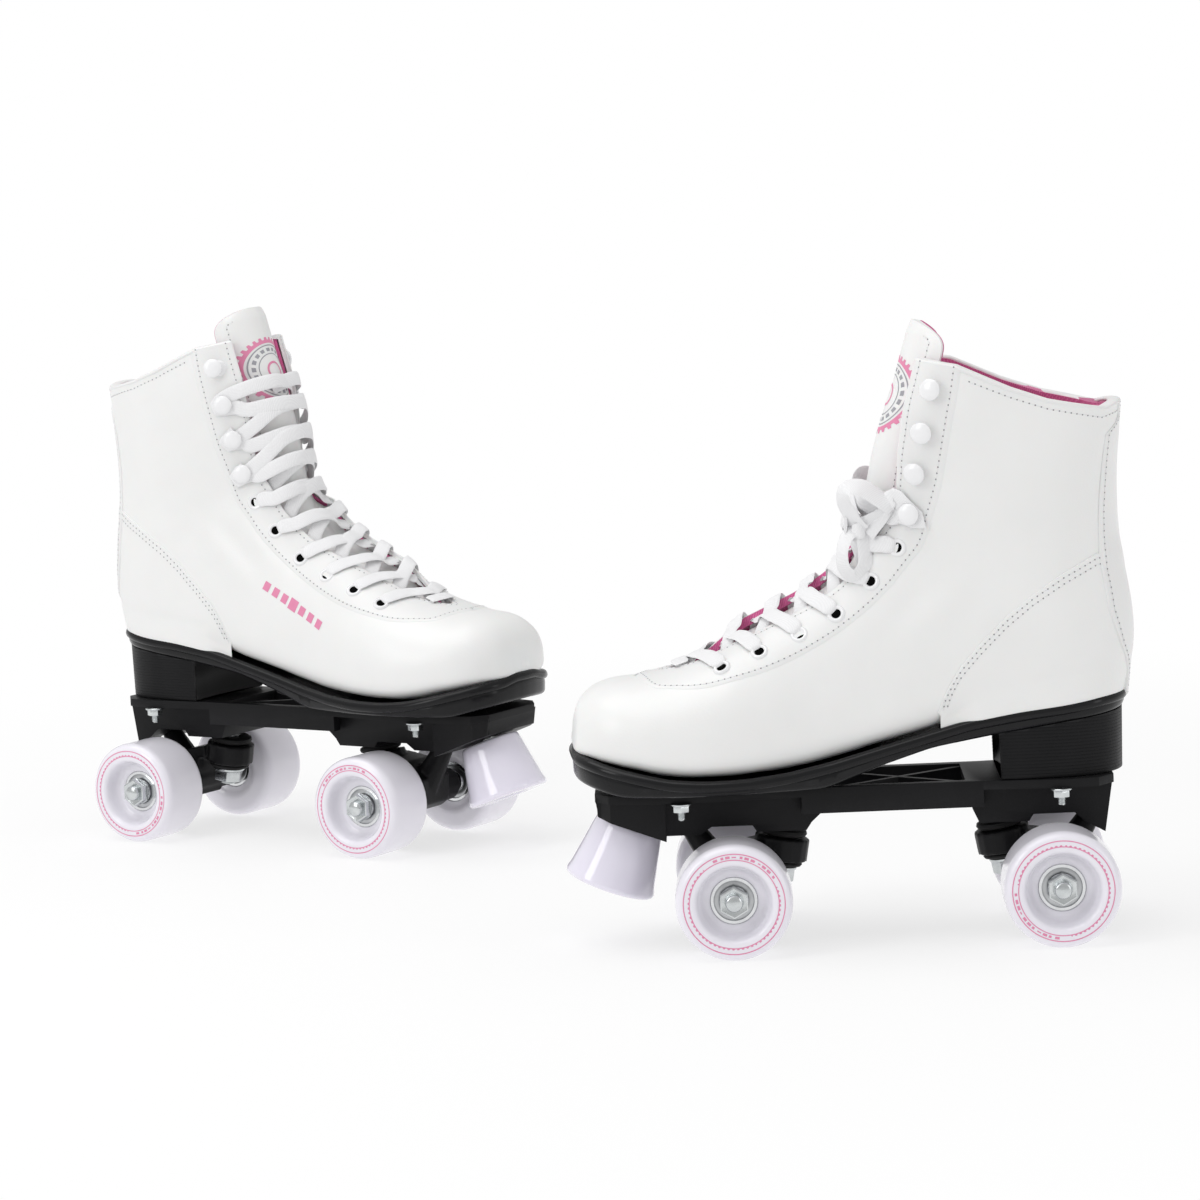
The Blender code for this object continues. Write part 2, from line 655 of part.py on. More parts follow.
def build():
    for obj in list(bpy.data.objects):
        bpy.data.objects.remove(obj)
    pair = bpy.data.collections.new("quad_roller_skates")
    bpy.context.scene.collection.children.link(pair)
    materials = {
        "leather": new_material("white_leather", (0.86, 0.86, 0.85), 0.4),
        "lining": new_material("pink_lining", (0.72, 0.2, 0.32), 0.85),
        "lace": new_material("white_lace", (0.85, 0.85, 0.86), 0.85),
        "sole": new_material("black_sole", (0.015, 0.015, 0.018), 0.35),
        "nylon": new_material("black_nylon", (0.02, 0.02, 0.022), 0.5),
        "rubber": new_material("black_rubber", (0.02, 0.02, 0.02), 0.7),
        "urethane": new_material("lilac_urethane", (0.77, 0.75, 0.87), 0.12),
        "wheel": new_material("white_urethane", (0.88, 0.86, 0.92), 0.2),
        "steel": new_material("zinc_steel", (0.62, 0.64, 0.65), 0.3, 1.0),
    }
    right = empty("right_skate", location=(*RIGHT_PLACE, 0))
    right.rotation_euler = (0, 0, math.pi)
    left = empty("left_skate", location=(*LEFT_PLACE, 0))
    left.rotation_euler = (0, 0, LEFT_YAW)
    left.scale = (1, -1, 1)
    hangs_on = {}
    for name, skate in (("right", right), ("left", left)):
        hangs_on[name, "boot"] = skate
        for place, end in (("front", 1), ("rear", -1)):
            pivot = (end * RING_CENTRE[0], 0, RING_CENTRE[1])
            hangs_on[name, f"{place}_truck"] = empty(f"{name}_{place}_truck", skate, pivot)
    for name, shape, material, holder, origin in skate_pieces():
        mesh = shape.data
        mesh.name = name
        mesh.transform(Matrix.Translation(-Vector(origin) * MM))
        mesh.materials.clear()
        mesh.materials.append(materials[material])
        mesh.shade_smooth()
        mesh.set_sharp_from_angle(angle=math.radians(35))
        bpy.data.objects.remove(shape)
        for side in ("right", "left"):
            parent = hangs_on[side, holder]
            piece = bpy.data.objects.new(f"{side}_{name}", mesh)
            piece.parent = parent
            offset = parent.location / MM if holder != "boot" else Vector()
            piece.location = (Vector(origin) - offset) * MM
            pair.objects.link(piece)


build()
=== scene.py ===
import json
import math

import bmesh
import bpy
import numpy as np
from mathutils import Matrix, Vector
from mathutils.bvhtree import BVHTree

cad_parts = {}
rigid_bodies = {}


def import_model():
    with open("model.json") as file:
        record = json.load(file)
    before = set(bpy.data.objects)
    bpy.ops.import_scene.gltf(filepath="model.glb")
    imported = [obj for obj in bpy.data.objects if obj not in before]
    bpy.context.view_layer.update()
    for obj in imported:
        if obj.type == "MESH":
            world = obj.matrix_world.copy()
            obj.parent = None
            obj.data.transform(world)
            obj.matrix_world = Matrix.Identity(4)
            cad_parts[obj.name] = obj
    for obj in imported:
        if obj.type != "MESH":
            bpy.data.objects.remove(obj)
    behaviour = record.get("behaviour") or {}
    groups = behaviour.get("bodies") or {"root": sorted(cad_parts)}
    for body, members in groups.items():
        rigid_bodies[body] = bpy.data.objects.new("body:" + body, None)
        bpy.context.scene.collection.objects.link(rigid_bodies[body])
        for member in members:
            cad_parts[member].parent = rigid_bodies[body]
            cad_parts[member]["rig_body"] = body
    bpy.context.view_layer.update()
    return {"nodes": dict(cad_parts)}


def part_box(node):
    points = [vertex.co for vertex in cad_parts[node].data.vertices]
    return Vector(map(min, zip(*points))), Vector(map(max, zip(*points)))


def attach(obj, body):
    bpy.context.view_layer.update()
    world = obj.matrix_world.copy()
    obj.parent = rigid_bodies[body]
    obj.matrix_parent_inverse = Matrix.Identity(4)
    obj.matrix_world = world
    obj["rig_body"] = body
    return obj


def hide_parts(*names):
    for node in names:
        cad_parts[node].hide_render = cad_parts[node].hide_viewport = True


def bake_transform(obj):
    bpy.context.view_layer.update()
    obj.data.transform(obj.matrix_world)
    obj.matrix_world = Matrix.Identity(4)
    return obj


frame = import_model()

# Everything of a skate is made in the skate's own frame, in millimetres: X towards the toe, Y towards the
# wearer's other foot, Z up, with the origin on the floor midway between the axles.
MM = 0.001
SIDES = ("right", "left")

# The boot's outer surface: the rows of sections that the design gives it. Each row holds the section's
# front or top point (x, z), its rear or bottom point (x, z), half its width, where it is widest from the
# bottom up, and half the width of the lacing gap.
SECTIONS = np.array(
    (
        (147.4, 101, 147.3, 94.5, 4, 0.50, 0),
        (146.4, 108, 146.8, 92.6, 13, 0.42, 0),
        (143.2, 115.6, 143.8, 91.6, 22, 0.36, 0),
        (137, 121.6, 138, 90.3, 30, 0.32, 0),
        (128, 124.8, 130, 88.2, 36.5, 0.30, 0),
        (116, 126.2, 117, 85.3, 41.5, 0.30, 0),
        (103, 128.2, 103, 82.3, 44.5, 0.30, 0),
        (88, 132.5, 86, 80.9, 45.5, 0.30, 8),
        (71, 141, 67, 81, 44, 0.30, 11),
        (55, 149, 48, 82.6, 40.5, 0.30, 13),
        (40, 157.5, 28, 86, 36.5, 0.30, 14.5),
        (27, 167, 7, 91.2, 34, 0.30, 16),
        (18, 177, -16, 97, 33, 0.30, 17),
        (13, 186, -38, 102.7, 32.5, 0.30, 18),
        (11, 194, -60, 106, 32.5, 0.30, 18.5),
        (10, 201, -82, 108.2, 32.5, 0.31, 19),
        (9.2, 207, -99, 110.6, 32, 0.33, 19.5),
        (8.4, 213, -110, 119, 31.5, 0.36, 20),
        (7.2, 219, -114, 134, 31.5, 0.40, 20.5),
        (5.6, 226, -113.6, 151, 32, 0.44, 21),
        (3.4, 234, -110.8, 170, 33, 0.47, 21.5),
        (0.6, 243, -109, 192, 34, 0.49, 22),
        (-2.6, 252, -109.2, 214, 35, 0.50, 22),
        (-6, 261, -110.8, 232, 35.5, 0.50, 22),
        (-9, 271, -112, 245.5, 35.5, 0.50, 22),
    )
)
TOP_ROW = len(SECTIONS) - 1
THROAT = 6.1
FLARE = 6.0
LEATHER_THICK = 2.2
CUFF = ((-112, 246), (-102, 242.8), (-77, 248.3), (-60, 254.5), (-36, 265.5), (-22.7, 268), (-9, 271))

# Lines on the boot seen from the side, as (x, z)
EYELETS = (
    (94.5, 129.7), (76, 131.2), (58.5, 137.8), (39.9, 144.9), (22.5, 153.7), (6, 168.1), (-6.6, 183.2)
)
HOOKS = ((-12.7, 198.5), (-16.3, 217.5), (-20, 236), (-24.7, 255.4))
FACING_SEAM = (
    (-37, 262), (-32.5, 238), (-28, 215), (-22, 194), (-13, 178), (-2, 165), (12, 153), (26, 143.5),
    (45, 134), (62, 128.3), (80, 124.2), (97, 122.8), (110, 123.6), (116.5, 126.2)
)
COUNTER_SEAM = (
    (-97.5, 177), (-82, 169.5), (-67, 160), (-55, 150.5), (-43, 139), (-33, 128), (-26, 116.5),
    (-21, 105), (-18.3, 98.5)
)
BACK_STRIP = (
    (-101.8, 243), (-103.5, 232), (-101, 213), (-99, 189), (-99, 170), (-102, 150), (-107.5, 132),
    (-108, 117)
)

# The sole seen from above (x, half width) and from the side (x, z)
SOLE_OUTLINE = (
    (148.2, 3), (147.2, 12), (144.5, 22), (138.5, 31.5), (130, 38.5), (117, 44), (103, 46.8), (85, 47.5),
    (66, 45.8), (47, 42), (27, 37.5), (6, 34.5), (-16, 32.8), (-38, 32), (-60, 31.8), (-80, 30.8),
    (-94, 27), (-103, 20.5), (-108.5, 12), (-110.8, 3)
)
SOLE_UNDERSIDE = (
    (-112, 103), (-83, 100), (-48, 95.3), (-19, 90.5), (4, 83.5), (30, 74.4), (126, 74.4), (148.5, 80)
)

LACE_WIDTH = 7.8
LACE_THICK = 1.1
TAPER_LENGTH = 7


# ---------------------------------------------------------------- the skate's frame


def middle(node):
    """The middle of a node's box in the row frame."""
    low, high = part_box(node)
    return (low + high) / 2


def skate_matrix(side):
    """Takes a skate's own millimetres to the row frame."""
    front = (middle(f"{side}_front_inner_wheel") + middle(f"{side}_front_outer_wheel")) / 2
    rear = (middle(f"{side}_rear_inner_wheel") + middle(f"{side}_rear_outer_wheel")) / 2
    toe = (front - rear).normalized()
    inner = (middle(f"{side}_front_inner_wheel") - middle(f"{side}_front_outer_wheel")).normalized()
    origin = (front + rear) / 2
    origin.z = 0
    turn = Matrix((toe, inner, Vector((0, 0, 1)))).transposed().to_4x4()
    return Matrix.Translation(origin) @ turn @ Matrix.Scale(MM, 4)


SKATE = {side: skate_matrix(side) for side in SIDES}


def place_mesh(name, mesh, side, body, material, replaces=()):
    """Makes a mesh in the row frame into a piece that rides on one skate's body."""
    obj = bpy.data.objects.new(f"{side}_{name}", mesh)
    bpy.context.scene.collection.objects.link(obj)
    mesh.materials.clear()
    mesh.materials.append(material)
    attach(obj, f"{side}_{body}")
    if replaces:
        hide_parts(*(f"{side}_{node}" for node in replaces))
    return obj


def put(name, mesh, side, body, material, replaces=(), keep=False):
    """As place_mesh, for a mesh in the skate's own frame, which is kept as it is when it is used again."""
    mesh = mesh.copy() if keep else mesh
    mesh.transform(SKATE[side])
    if SKATE[side].determinant() < 0:
        mesh.flip_normals()
    return place_mesh(name, mesh, side, body, material, replaces)


def put_both(name, mesh, body, material, replaces=()):
    """As put, on both skates."""
    return [put(name, mesh, side, body, material, replaces, keep=True) for side in SIDES]


# ---------------------------------------------------------------- mesh helpers


def mesh_from(bm, name, sharp=40):
    """A smooth mesh from a bmesh, which is freed, with sharp edges past an angle in degrees."""
    mesh = bpy.data.meshes.new(name)
    bm.to_mesh(mesh)
    bm.free()
    mesh.shade_smooth()
    mesh.set_sharp_from_angle(angle=math.radians(sharp))
    return mesh


def out_facing(bm):
    """Turns the faces of a closed shape outwards."""
    bmesh.ops.recalc_face_normals(bm, faces=bm.faces)
    if bm.calc_volume(signed=True) < 0:
        bmesh.ops.reverse_faces(bm, faces=bm.faces)


def grid_mesh(points, name, close_rows=False, close_columns=False, caps=False, sharp=60):
    """A mesh of quads over an array of points (rows, columns, 3)."""
    rows, columns = points.shape[:2]
    index = np.arange(rows * columns).reshape(rows, columns)
    if close_rows:
        index = np.vstack([index, index[:1]])
    if close_columns:
        index = np.hstack([index, index[:, :1]])
    faces = np.stack(
        [index[:-1, :-1], index[:-1, 1:], index[1:, 1:], index[1:, :-1]], -1
    ).reshape(-1, 4).tolist()
    if caps:
        faces += [index[0, :columns].tolist()[::-1], index[-1, :columns].tolist()]
    mesh = bpy.data.meshes.new(name)
    mesh.from_pydata(points.reshape(-1, 3).tolist(), [], faces)
    mesh.update()
    mesh.shade_smooth()
    mesh.set_sharp_from_angle(angle=math.radians(sharp))
    return mesh


def turned(profile, steps, name, sharp=35, start=(0, 0, 0), axis=(0, 0, 1)):
    """A profile of (radius, height) turned about Z, then set at a start point along an axis."""
    bm = bmesh.new()
    rings = []
    for radius, height in profile:
        if radius < 1e-6:
            rings.append([bm.verts.new((0, 0, height))] * steps)
            continue
        angles = [2 * math.pi * i / steps for i in range(steps)]
        rings.append([bm.verts.new((radius * math.cos(a), radius * math.sin(a), height)) for a in angles])
    closed = profile[0][0] > 1e-6 and profile[-1][0] > 1e-6
    pairs = list(zip(rings, rings[1:])) + ([(rings[-1], rings[0])] if closed else [])
    for low, high in pairs:
        for i in range(steps):
            j = (i + 1) % steps
            corners = list(dict.fromkeys((low[i], low[j], high[j], high[i])))
            if len(corners) > 2:
                bm.faces.new(corners)
    out_facing(bm)
    turn = Vector(axis).to_track_quat("Z", "Y").to_matrix().to_4x4()
    bm.transform(Matrix.Translation(Vector(start)) @ turn)
    return mesh_from(bm, name, sharp)


def hexagon(across_flats, low, high, bore, name, start=(0, 0, 0), axis=(0, 0, 1), chamfer=0.7):
    """A nut or a bolt head with its corners turned off, and a bore when it has one."""
    bm = bmesh.new()
    corner = across_flats / math.sqrt(3)
    bmesh.ops.create_cone(
        bm, cap_ends=True, segments=6, radius1=corner, radius2=corner, depth=high - low
    )
    bmesh.ops.translate(bm, verts=bm.verts, vec=(0, 0, (low + high) / 2))
    edges = [e for e in bm.edges if abs(e.verts[0].co.z - e.verts[1].co.z) < 1e-6]
    bmesh.ops.bevel(
        bm, geom=edges, offset=chamfer, offset_type="OFFSET", segments=2, profile=0.6, affect="EDGES"
    )
    if bore:
        for end in (low, high):
            face = max(
                (f for f in bm.faces if abs(f.calc_center_median().z - end) < 1e-4),
                key=lambda f: f.calc_area()
            )
            bmesh.ops.inset_region(bm, faces=[face], thickness=across_flats / 2 - chamfer - bore - 0.4)
            bmesh.ops.translate(bm, verts=face.verts, vec=(0, 0, -0.5 if end == high else 0.5))
    turn = Vector(axis).to_track_quat("Z", "Y").to_matrix().to_4x4()
    bm.transform(Matrix.Translation(Vector(start)) @ turn)
    out_facing(bm)
    return mesh_from(bm, name, 30)


def catmull_rom(before, here, there, after, t):
    """The curve through four values, a share t of the way from the second to the third."""
    return 0.5 * (
        2 * here
        + (there - before) * t
        + (2 * before - 5 * here + 4 * there - after) * t**2
        + (3 * here - 3 * there + after - before) * t**3
    )


def distances(line):
    """How far along a line each of its points is."""
    return np.concatenate([[0], np.cumsum(np.linalg.norm(np.diff(line, axis=0), axis=1))])


def values_at(at, lengths, values):
    """Rows of values, known at some distances, at other distances."""
    return np.stack([np.interp(at, lengths, column) for column in values.T], 1)


def smooth_path(points, count):
    """Points spaced evenly along a Catmull-Rom curve through the given ones."""
    p = np.array([tuple(q) for q in points], float)
    p = np.vstack([2 * p[0] - p[1], p, 2 * p[-1] - p[-2]])
    found = []
    for i in range(1, len(p) - 2):
        t = np.linspace(0, 1, 16, endpoint=i == len(p) - 3)[:, None]
        found.append(catmull_rom(p[i - 1], p[i], p[i + 1], p[i + 2], t))
    line = np.vstack(found)
    lengths = distances(line)
    return values_at(np.linspace(0, lengths[-1], count), lengths, line)


def eased(share):
    """A share from 0 to 1 that starts and ends gently."""
    return share * share * (3 - 2 * share)


def ribbon_points(line, normals, width, thick, around=12):
    """Rings of a flat lace: an oval section laid across each point of the line, flat against the normal."""
    along = np.gradient(line, axis=0)
    along /= np.linalg.norm(along, axis=1)[:, None]
    across = np.cross(normals, along)
    across /= np.linalg.norm(across, axis=1)[:, None]
    up = np.cross(along, across)
    angle = 2 * math.pi * np.arange(around) / around
    wide = np.sign(np.cos(angle)) * np.abs(np.cos(angle)) ** 0.7 * width / 2
    high = np.sin(angle) * thick / 2
    return line[:, None] + across[:, None] * wide[None, :, None] + up[:, None] * high[None, :, None]


def joined(meshes, name):
    """One mesh of several, which are removed."""
    bm = bmesh.new()
    for mesh in meshes:
        bm.from_mesh(mesh)
        bpy.data.meshes.remove(mesh)
    result = bpy.data.meshes.new(name)
    bm.to_mesh(result)
    bm.free()
    return result


# ---------------------------------------------------------------- the boot's surface


def rows_at(u):
    """The rows of SECTIONS at fractional places, on Catmull-Rom curves through them."""
    u = np.asarray(u, float)
    i = np.clip(u.astype(int), 0, TOP_ROW - 1)
    t = (u - i)[..., None]
    before, here = SECTIONS[np.maximum(i - 1, 0)], SECTIONS[i]
    there, after = SECTIONS[i + 1], SECTIONS[np.minimum(i + 2, TOP_ROW)]
    return catmull_rom(before, here, there, after, t)


def half_gap(u):
    """Half the width of the lacing gap, round at the throat."""
    u = np.asarray(u, float)
    full = np.maximum(rows_at(u)[..., 6], 9.5)
    return full * np.sqrt(np.clip((u - THROAT) / 1.1, 0, 1))


def angle_at(u, across):
    """The angle at which a row is so far from the skate's middle plane."""
    return np.arcsin(np.clip(across / rows_at(u)[..., 4], 0, 1) ** 1.1)


def boot_points(u, angle, inset=0.0):
    """Points of the boot's outer surface, or of one inset below it.

    The angle is 0 at the front and pi under the foot.
    """
    u, angle = np.broadcast_arrays(np.asarray(u, float), np.asarray(angle, float))
    rows = rows_at(u)
    top, low = rows[..., 0:2], rows[..., 2:4]
    half_width, widest = rows[..., 4], rows[..., 5]
    heel = np.clip((u - 14) / 4, 0, 1)
    sine, cosine = np.abs(np.sin(angle)), np.cos(angle)
    power = np.where(cosine >= 0, 2.2, 4.0 - 1.7 * heel)
    bend = np.abs(cosine) ** (2 / power)
    share = np.where(cosine >= 0, widest + (1 - widest) * bend, widest - widest * bend)
    length = np.linalg.norm(top - low, axis=-1)
    share = (inset + share * (length - 2 * inset)) / length
    place = low + share[..., None] * (top - low)
    y = np.maximum(half_width - inset, 0.5) * sine ** (2 / power) * np.sign(np.sin(angle))
    # On the outer side the laces leave the edge of the facing standing up a little.
    edge = angle_at(u, half_gap(u))
    beside = (np.abs(np.arctan2(np.sin(angle), cosine)) - edge) * half_width
    along = np.clip((u - 7.2) / 1.2, 0, 1) * np.clip((13.9 - u) / 1.2, 0, 1)
    flare = FLARE * along * np.exp(-((beside / 4.8) ** 2)) * (np.sin(angle) < 0)
    place = place + (flare * cosine / length)[..., None] * (top - low)
    y = y - flare * sine
    near_cuff = np.clip((u - 19) / 5, 0, 1) ** 2
    straight = 271 + (place[..., 0] + 9) * (271 - 245.5) / 103
    cuff_x, cuff_z = zip(*CUFF)
    lift = near_cuff * (np.interp(place[..., 0], cuff_x, cuff_z) - straight)
    return np.stack([place[..., 0], y, place[..., 1] + lift], -1)


def round_boot(start, columns):
    """The angles of rows of points that go round the boot from one edge of the lacing gap to the other."""
    return start[:, None] + (2 * math.pi - 2 * start[:, None]) * np.linspace(0, 1, columns)[None, :]


def tree_of(mesh):
    """A tree of a mesh's faces, to look for the places where a ray meets them."""
    bm = bmesh.new()
    bm.from_mesh(mesh)
    tree = BVHTree.FromBMesh(bm)
    bm.free()
    return tree


def boot_tree():
    """A tree of the outer surface, open along the lacing gap."""
    share = np.linspace(0, 1, 150)
    u = TOP_ROW * (0.75 * share + 0.25 * share**2)
    angle = round_boot(angle_at(u, half_gap(u)), 120)
    mesh = grid_mesh(boot_points(u[:, None], angle), "tree")
    tree = tree_of(mesh)
    bpy.data.meshes.remove(mesh)
    return tree


BOOT_TREE = boot_tree()


def on_boot(x, z, side=1):
    """(point, outward normal) of the boot's side where it is seen at this x and z."""
    hit, normal, _, _ = BOOT_TREE.ray_cast(Vector((x, 200 * side, z)), Vector((0, -side, 0)))
    if hit is None:
        hit, normal, _, _ = BOOT_TREE.find_nearest(Vector((x, 0.01 * side, z)))
    if normal.dot(hit - Vector((hit.x - 20, 0, 150))) < 0:
        normal = -normal
    return np.array(hit), np.array(normal)


# ---------------------------------------------------------------- materials


def new_material(name):
    material = bpy.data.materials.new(name)
    material.use_nodes = True
    return material, material.node_tree, material.node_tree.nodes["Principled BSDF"]


def set_plain(shader, **values):
    for name, value in values.items():
        shader.inputs[name.replace("_", " ")].default_value = value


def node(tree, kind, **values):
    made = tree.nodes.new(kind)
    for name, value in values.items():
        if hasattr(made, name):
            setattr(made, name, value)
        else:
            made.inputs[name.replace("_", " ")].default_value = value
    return made


def new_group(name, numbers, outputs=("Mask", "Normal")):
    """An empty shader node group with named number inputs: (tree, input node, output node)."""
    tree = bpy.data.node_groups.new(name, "ShaderNodeTree")
    for label, value in numbers.items():
        socket = tree.interface.new_socket(label, in_out="INPUT", socket_type="NodeSocketFloat")
        socket.default_value = value
    for label in outputs:
        kind = "NodeSocketVector" if label == "Normal" else "NodeSocketFloat"
        tree.interface.new_socket(label, in_out="OUTPUT", socket_type=kind)
    return tree, tree.nodes.new("NodeGroupInput"), tree.nodes.new("NodeGroupOutput")


def object_place(tree):
    return tree.nodes.new("ShaderNodeTexCoord").outputs["Object"]


def grain_group():
    """Fine pebbled grain over slow swells: a mask that varies over the surface and a bumped normal."""
    tree, given, out = new_group("pebbled_grain", {"Size": 900, "Depth": 0.2, "Swell": 40})
    place = object_place(tree)
    pebbles = node(tree, "ShaderNodeTexVoronoi", feature="SMOOTH_F1")
    swells = node(tree, "ShaderNodeTexNoise", Detail=3.0)
    fine = node(tree, "ShaderNodeTexNoise", Scale=2600, Detail=2.0)
    tree.links.new(place, pebbles.inputs["Vector"])
    tree.links.new(place, swells.inputs["Vector"])
    tree.links.new(place, fine.inputs["Vector"])
    tree.links.new(given.outputs["Size"], pebbles.inputs["Scale"])
    tree.links.new(given.outputs["Swell"], swells.inputs["Scale"])
    height = node(tree, "ShaderNodeMath", operation="MULTIPLY_ADD")
    tree.links.new(fine.outputs["Fac"], height.inputs[0])
    height.inputs[1].default_value = 0.35
    tree.links.new(pebbles.outputs["Distance"], height.inputs[2])
    bump = node(tree, "ShaderNodeBump", Distance=0.0002)
    tree.links.new(given.outputs["Depth"], bump.inputs["Strength"])
    tree.links.new(height.outputs[0], bump.inputs["Height"])
    tree.links.new(swells.outputs["Fac"], out.inputs["Mask"])
    tree.links.new(bump.outputs["Normal"], out.inputs["Normal"])
    return tree


def weave_group():
    """A tight plain weave: two crossed sets of waves, as a mask of the raised threads and a bumped normal."""
    tree, given, out = new_group("plain_weave", {"Threads": 900, "Depth": 0.5})
    place = object_place(tree)
    waves = []
    for turn in ((0, 0, 0.785), (0.9, 0.4, -0.785)):
        turned_place = node(tree, "ShaderNodeMapping")
        turned_place.inputs["Rotation"].default_value = turn
        tree.links.new(place, turned_place.inputs["Vector"])
        wave = node(tree, "ShaderNodeTexWave", Distortion=0.6, Detail=1.0)
        tree.links.new(turned_place.outputs["Vector"], wave.inputs["Vector"])
        tree.links.new(given.outputs["Threads"], wave.inputs["Scale"])
        waves.append(wave)
    crossed = node(tree, "ShaderNodeMath", operation="MULTIPLY")
    tree.links.new(waves[0].outputs["Fac"], crossed.inputs[0])
    tree.links.new(waves[1].outputs["Fac"], crossed.inputs[1])
    bump = node(tree, "ShaderNodeBump", Distance=0.0003)
    tree.links.new(given.outputs["Depth"], bump.inputs["Strength"])
    tree.links.new(crossed.outputs[0], bump.inputs["Height"])
    tree.links.new(crossed.outputs[0], out.inputs["Mask"])
    tree.links.new(bump.outputs["Normal"], out.inputs["Normal"])
    return tree


def edge_wear_group():
    """A mask that is 1 where an outer edge is rubbed, broken up by noise."""
    tree, given, out = new_group("edge_wear", {"Reach": 0.6, "Breakup": 300}, outputs=("Mask",))
    point = tree.nodes.new("ShaderNodeNewGeometry")
    noise = node(tree, "ShaderNodeTexNoise", Detail=4.0)
    tree.links.new(object_place(tree), noise.inputs["Vector"])
    tree.links.new(given.outputs["Breakup"], noise.inputs["Scale"])
    ramp = node(tree, "ShaderNodeMapRange")
    ramp.inputs["From Min"].default_value = 0.53
    ramp.inputs["From Max"].default_value = 0.62
    tree.links.new(point.outputs["Pointiness"], ramp.inputs["Value"])
    broken = node(tree, "ShaderNodeMath", operation="MULTIPLY")
    tree.links.new(ramp.outputs["Result"], broken.inputs[0])
    tree.links.new(noise.outputs["Fac"], broken.inputs[1])
    scaled = node(tree, "ShaderNodeMath", operation="MULTIPLY")
    tree.links.new(broken.outputs[0], scaled.inputs[0])
    tree.links.new(given.outputs["Reach"], scaled.inputs[1])
    tree.links.new(scaled.outputs[0], out.inputs["Mask"])
    return tree


GRAIN = grain_group()
WEAVE = weave_group()
WEAR = edge_wear_group()


def use_group(tree, group, **values):
    made = tree.nodes.new("ShaderNodeGroup")
    made.node_tree = group
    for name, value in values.items():
        made.inputs[name].default_value = value
    return made


# The sockets of a mix node that mixes colours
COLOUR_A, COLOUR_B, COLOUR_RESULT = 6, 7, 2


def two_colours(tree, mask, low, high):
    mix = node(tree, "ShaderNodeMix", data_type="RGBA")
    mix.inputs[COLOUR_A].default_value = (*low, 1)
    mix.inputs[COLOUR_B].default_value = (*high, 1)
    tree.links.new(mask, mix.inputs["Factor"])
    return mix.outputs[COLOUR_RESULT]


def varied(tree, mask, low, high):
    spread = node(tree, "ShaderNodeMapRange")
    spread.inputs["To Min"].default_value = low
    spread.inputs["To Max"].default_value = high
    tree.links.new(mask, spread.inputs["Value"])
    return spread.outputs["Result"]


def grained(name, low, high, roughness, **grain_values):
    """A material whose colour and roughness vary with the grain, and whose normal follows it."""
    material, tree, shader = new_material(name)
    grain = use_group(tree, GRAIN, **grain_values)
    tree.links.new(two_colours(tree, grain.outputs["Mask"], low, high), shader.inputs["Base Color"])
    tree.links.new(varied(tree, grain.outputs["Mask"], *roughness), shader.inputs["Roughness"])
    tree.links.new(grain.outputs["Normal"], shader.inputs["Normal"])
    return material, shader


def coated_leather(name, low, high, size, depth):
    material, shader = grained(name, low, high, (0.42, 0.33), Size=size, Depth=depth, Swell=28)
    set_plain(
        shader, IOR=1.45, Coat_Weight=0.12, Coat_Roughness=0.3, Subsurface_Weight=0.04,
        Subsurface_Scale=0.002
    )
    return material


def woven(name, low, high, threads=700, depth=0.7, roughness=0.85, sheen=0.3):
    material, tree, shader = new_material(name)
    weave = use_group(tree, WEAVE, Threads=threads, Depth=depth)
    tree.links.new(two_colours(tree, weave.outputs["Mask"], low, high), shader.inputs["Base Color"])
    tree.links.new(weave.outputs["Normal"], shader.inputs["Normal"])
    set_plain(shader, Roughness=roughness, Sheen_Weight=sheen, Sheen_Roughness=0.5)
    return material


def moulded(
    name, low, high, roughness, size=1500, depth=0.25, coat=0.0, worn=(0.035, 0.035, 0.037), shine=0.14
):
    """Moulded rubber or nylon: a fine texture, a little lighter where its edges are rubbed."""
    material, tree, shader = new_material(name)
    grain = use_group(tree, GRAIN, Size=size, Depth=depth, Swell=60)
    wear = use_group(tree, WEAR, Reach=0.5, Breakup=420)
    base = two_colours(tree, grain.outputs["Mask"], low, high)
    rubbed = node(tree, "ShaderNodeMix", data_type="RGBA")
    rubbed.inputs[COLOUR_B].default_value = (*worn, 1)
    tree.links.new(base, rubbed.inputs[COLOUR_A])
    tree.links.new(wear.outputs["Mask"], rubbed.inputs["Factor"])
    tree.links.new(rubbed.outputs[COLOUR_RESULT], shader.inputs["Base Color"])
    tree.links.new(
        varied(tree, grain.outputs["Mask"], roughness + 0.06, roughness - 0.06), shader.inputs["Roughness"]
    )
    tree.links.new(grain.outputs["Normal"], shader.inputs["Normal"])
    set_plain(shader, Coat_Weight=coat, Coat_Roughness=0.12, Specular_IOR_Level=shine)
    return material


def cast_urethane(name, low, high, roughness, coat=0.3):
    rough = (roughness + 0.04, roughness - 0.03)
    material, shader = grained(name, low, high, rough, Size=350, Depth=0.02, Swell=50)
    set_plain(
        shader, IOR=1.5, Subsurface_Weight=0.12, Subsurface_Scale=0.004, Coat_Weight=coat,
        Coat_Roughness=0.06
    )
    shader.inputs["Subsurface Radius"].default_value = (1.0, 0.9, 1.0)
    return material


def plated_steel(name, low, high, roughness):
    rough = (roughness + 0.1, roughness - 0.05)
    material, shader = grained(name, low, high, rough, Size=1400, Depth=0.12, Swell=220)
    set_plain(shader, Metallic=1.0)
    return material


def print_ink(name, low, high):
    material, tree, shader = new_material(name)
    grain = use_group(tree, GRAIN, Size=1800, Depth=0.05, Swell=200)
    tree.links.new(two_colours(tree, grain.outputs["Mask"], low, high), shader.inputs["Base Color"])
    tree.links.new(varied(tree, grain.outputs["Mask"], 0.45, 0.35), shader.inputs["Roughness"])
    return material


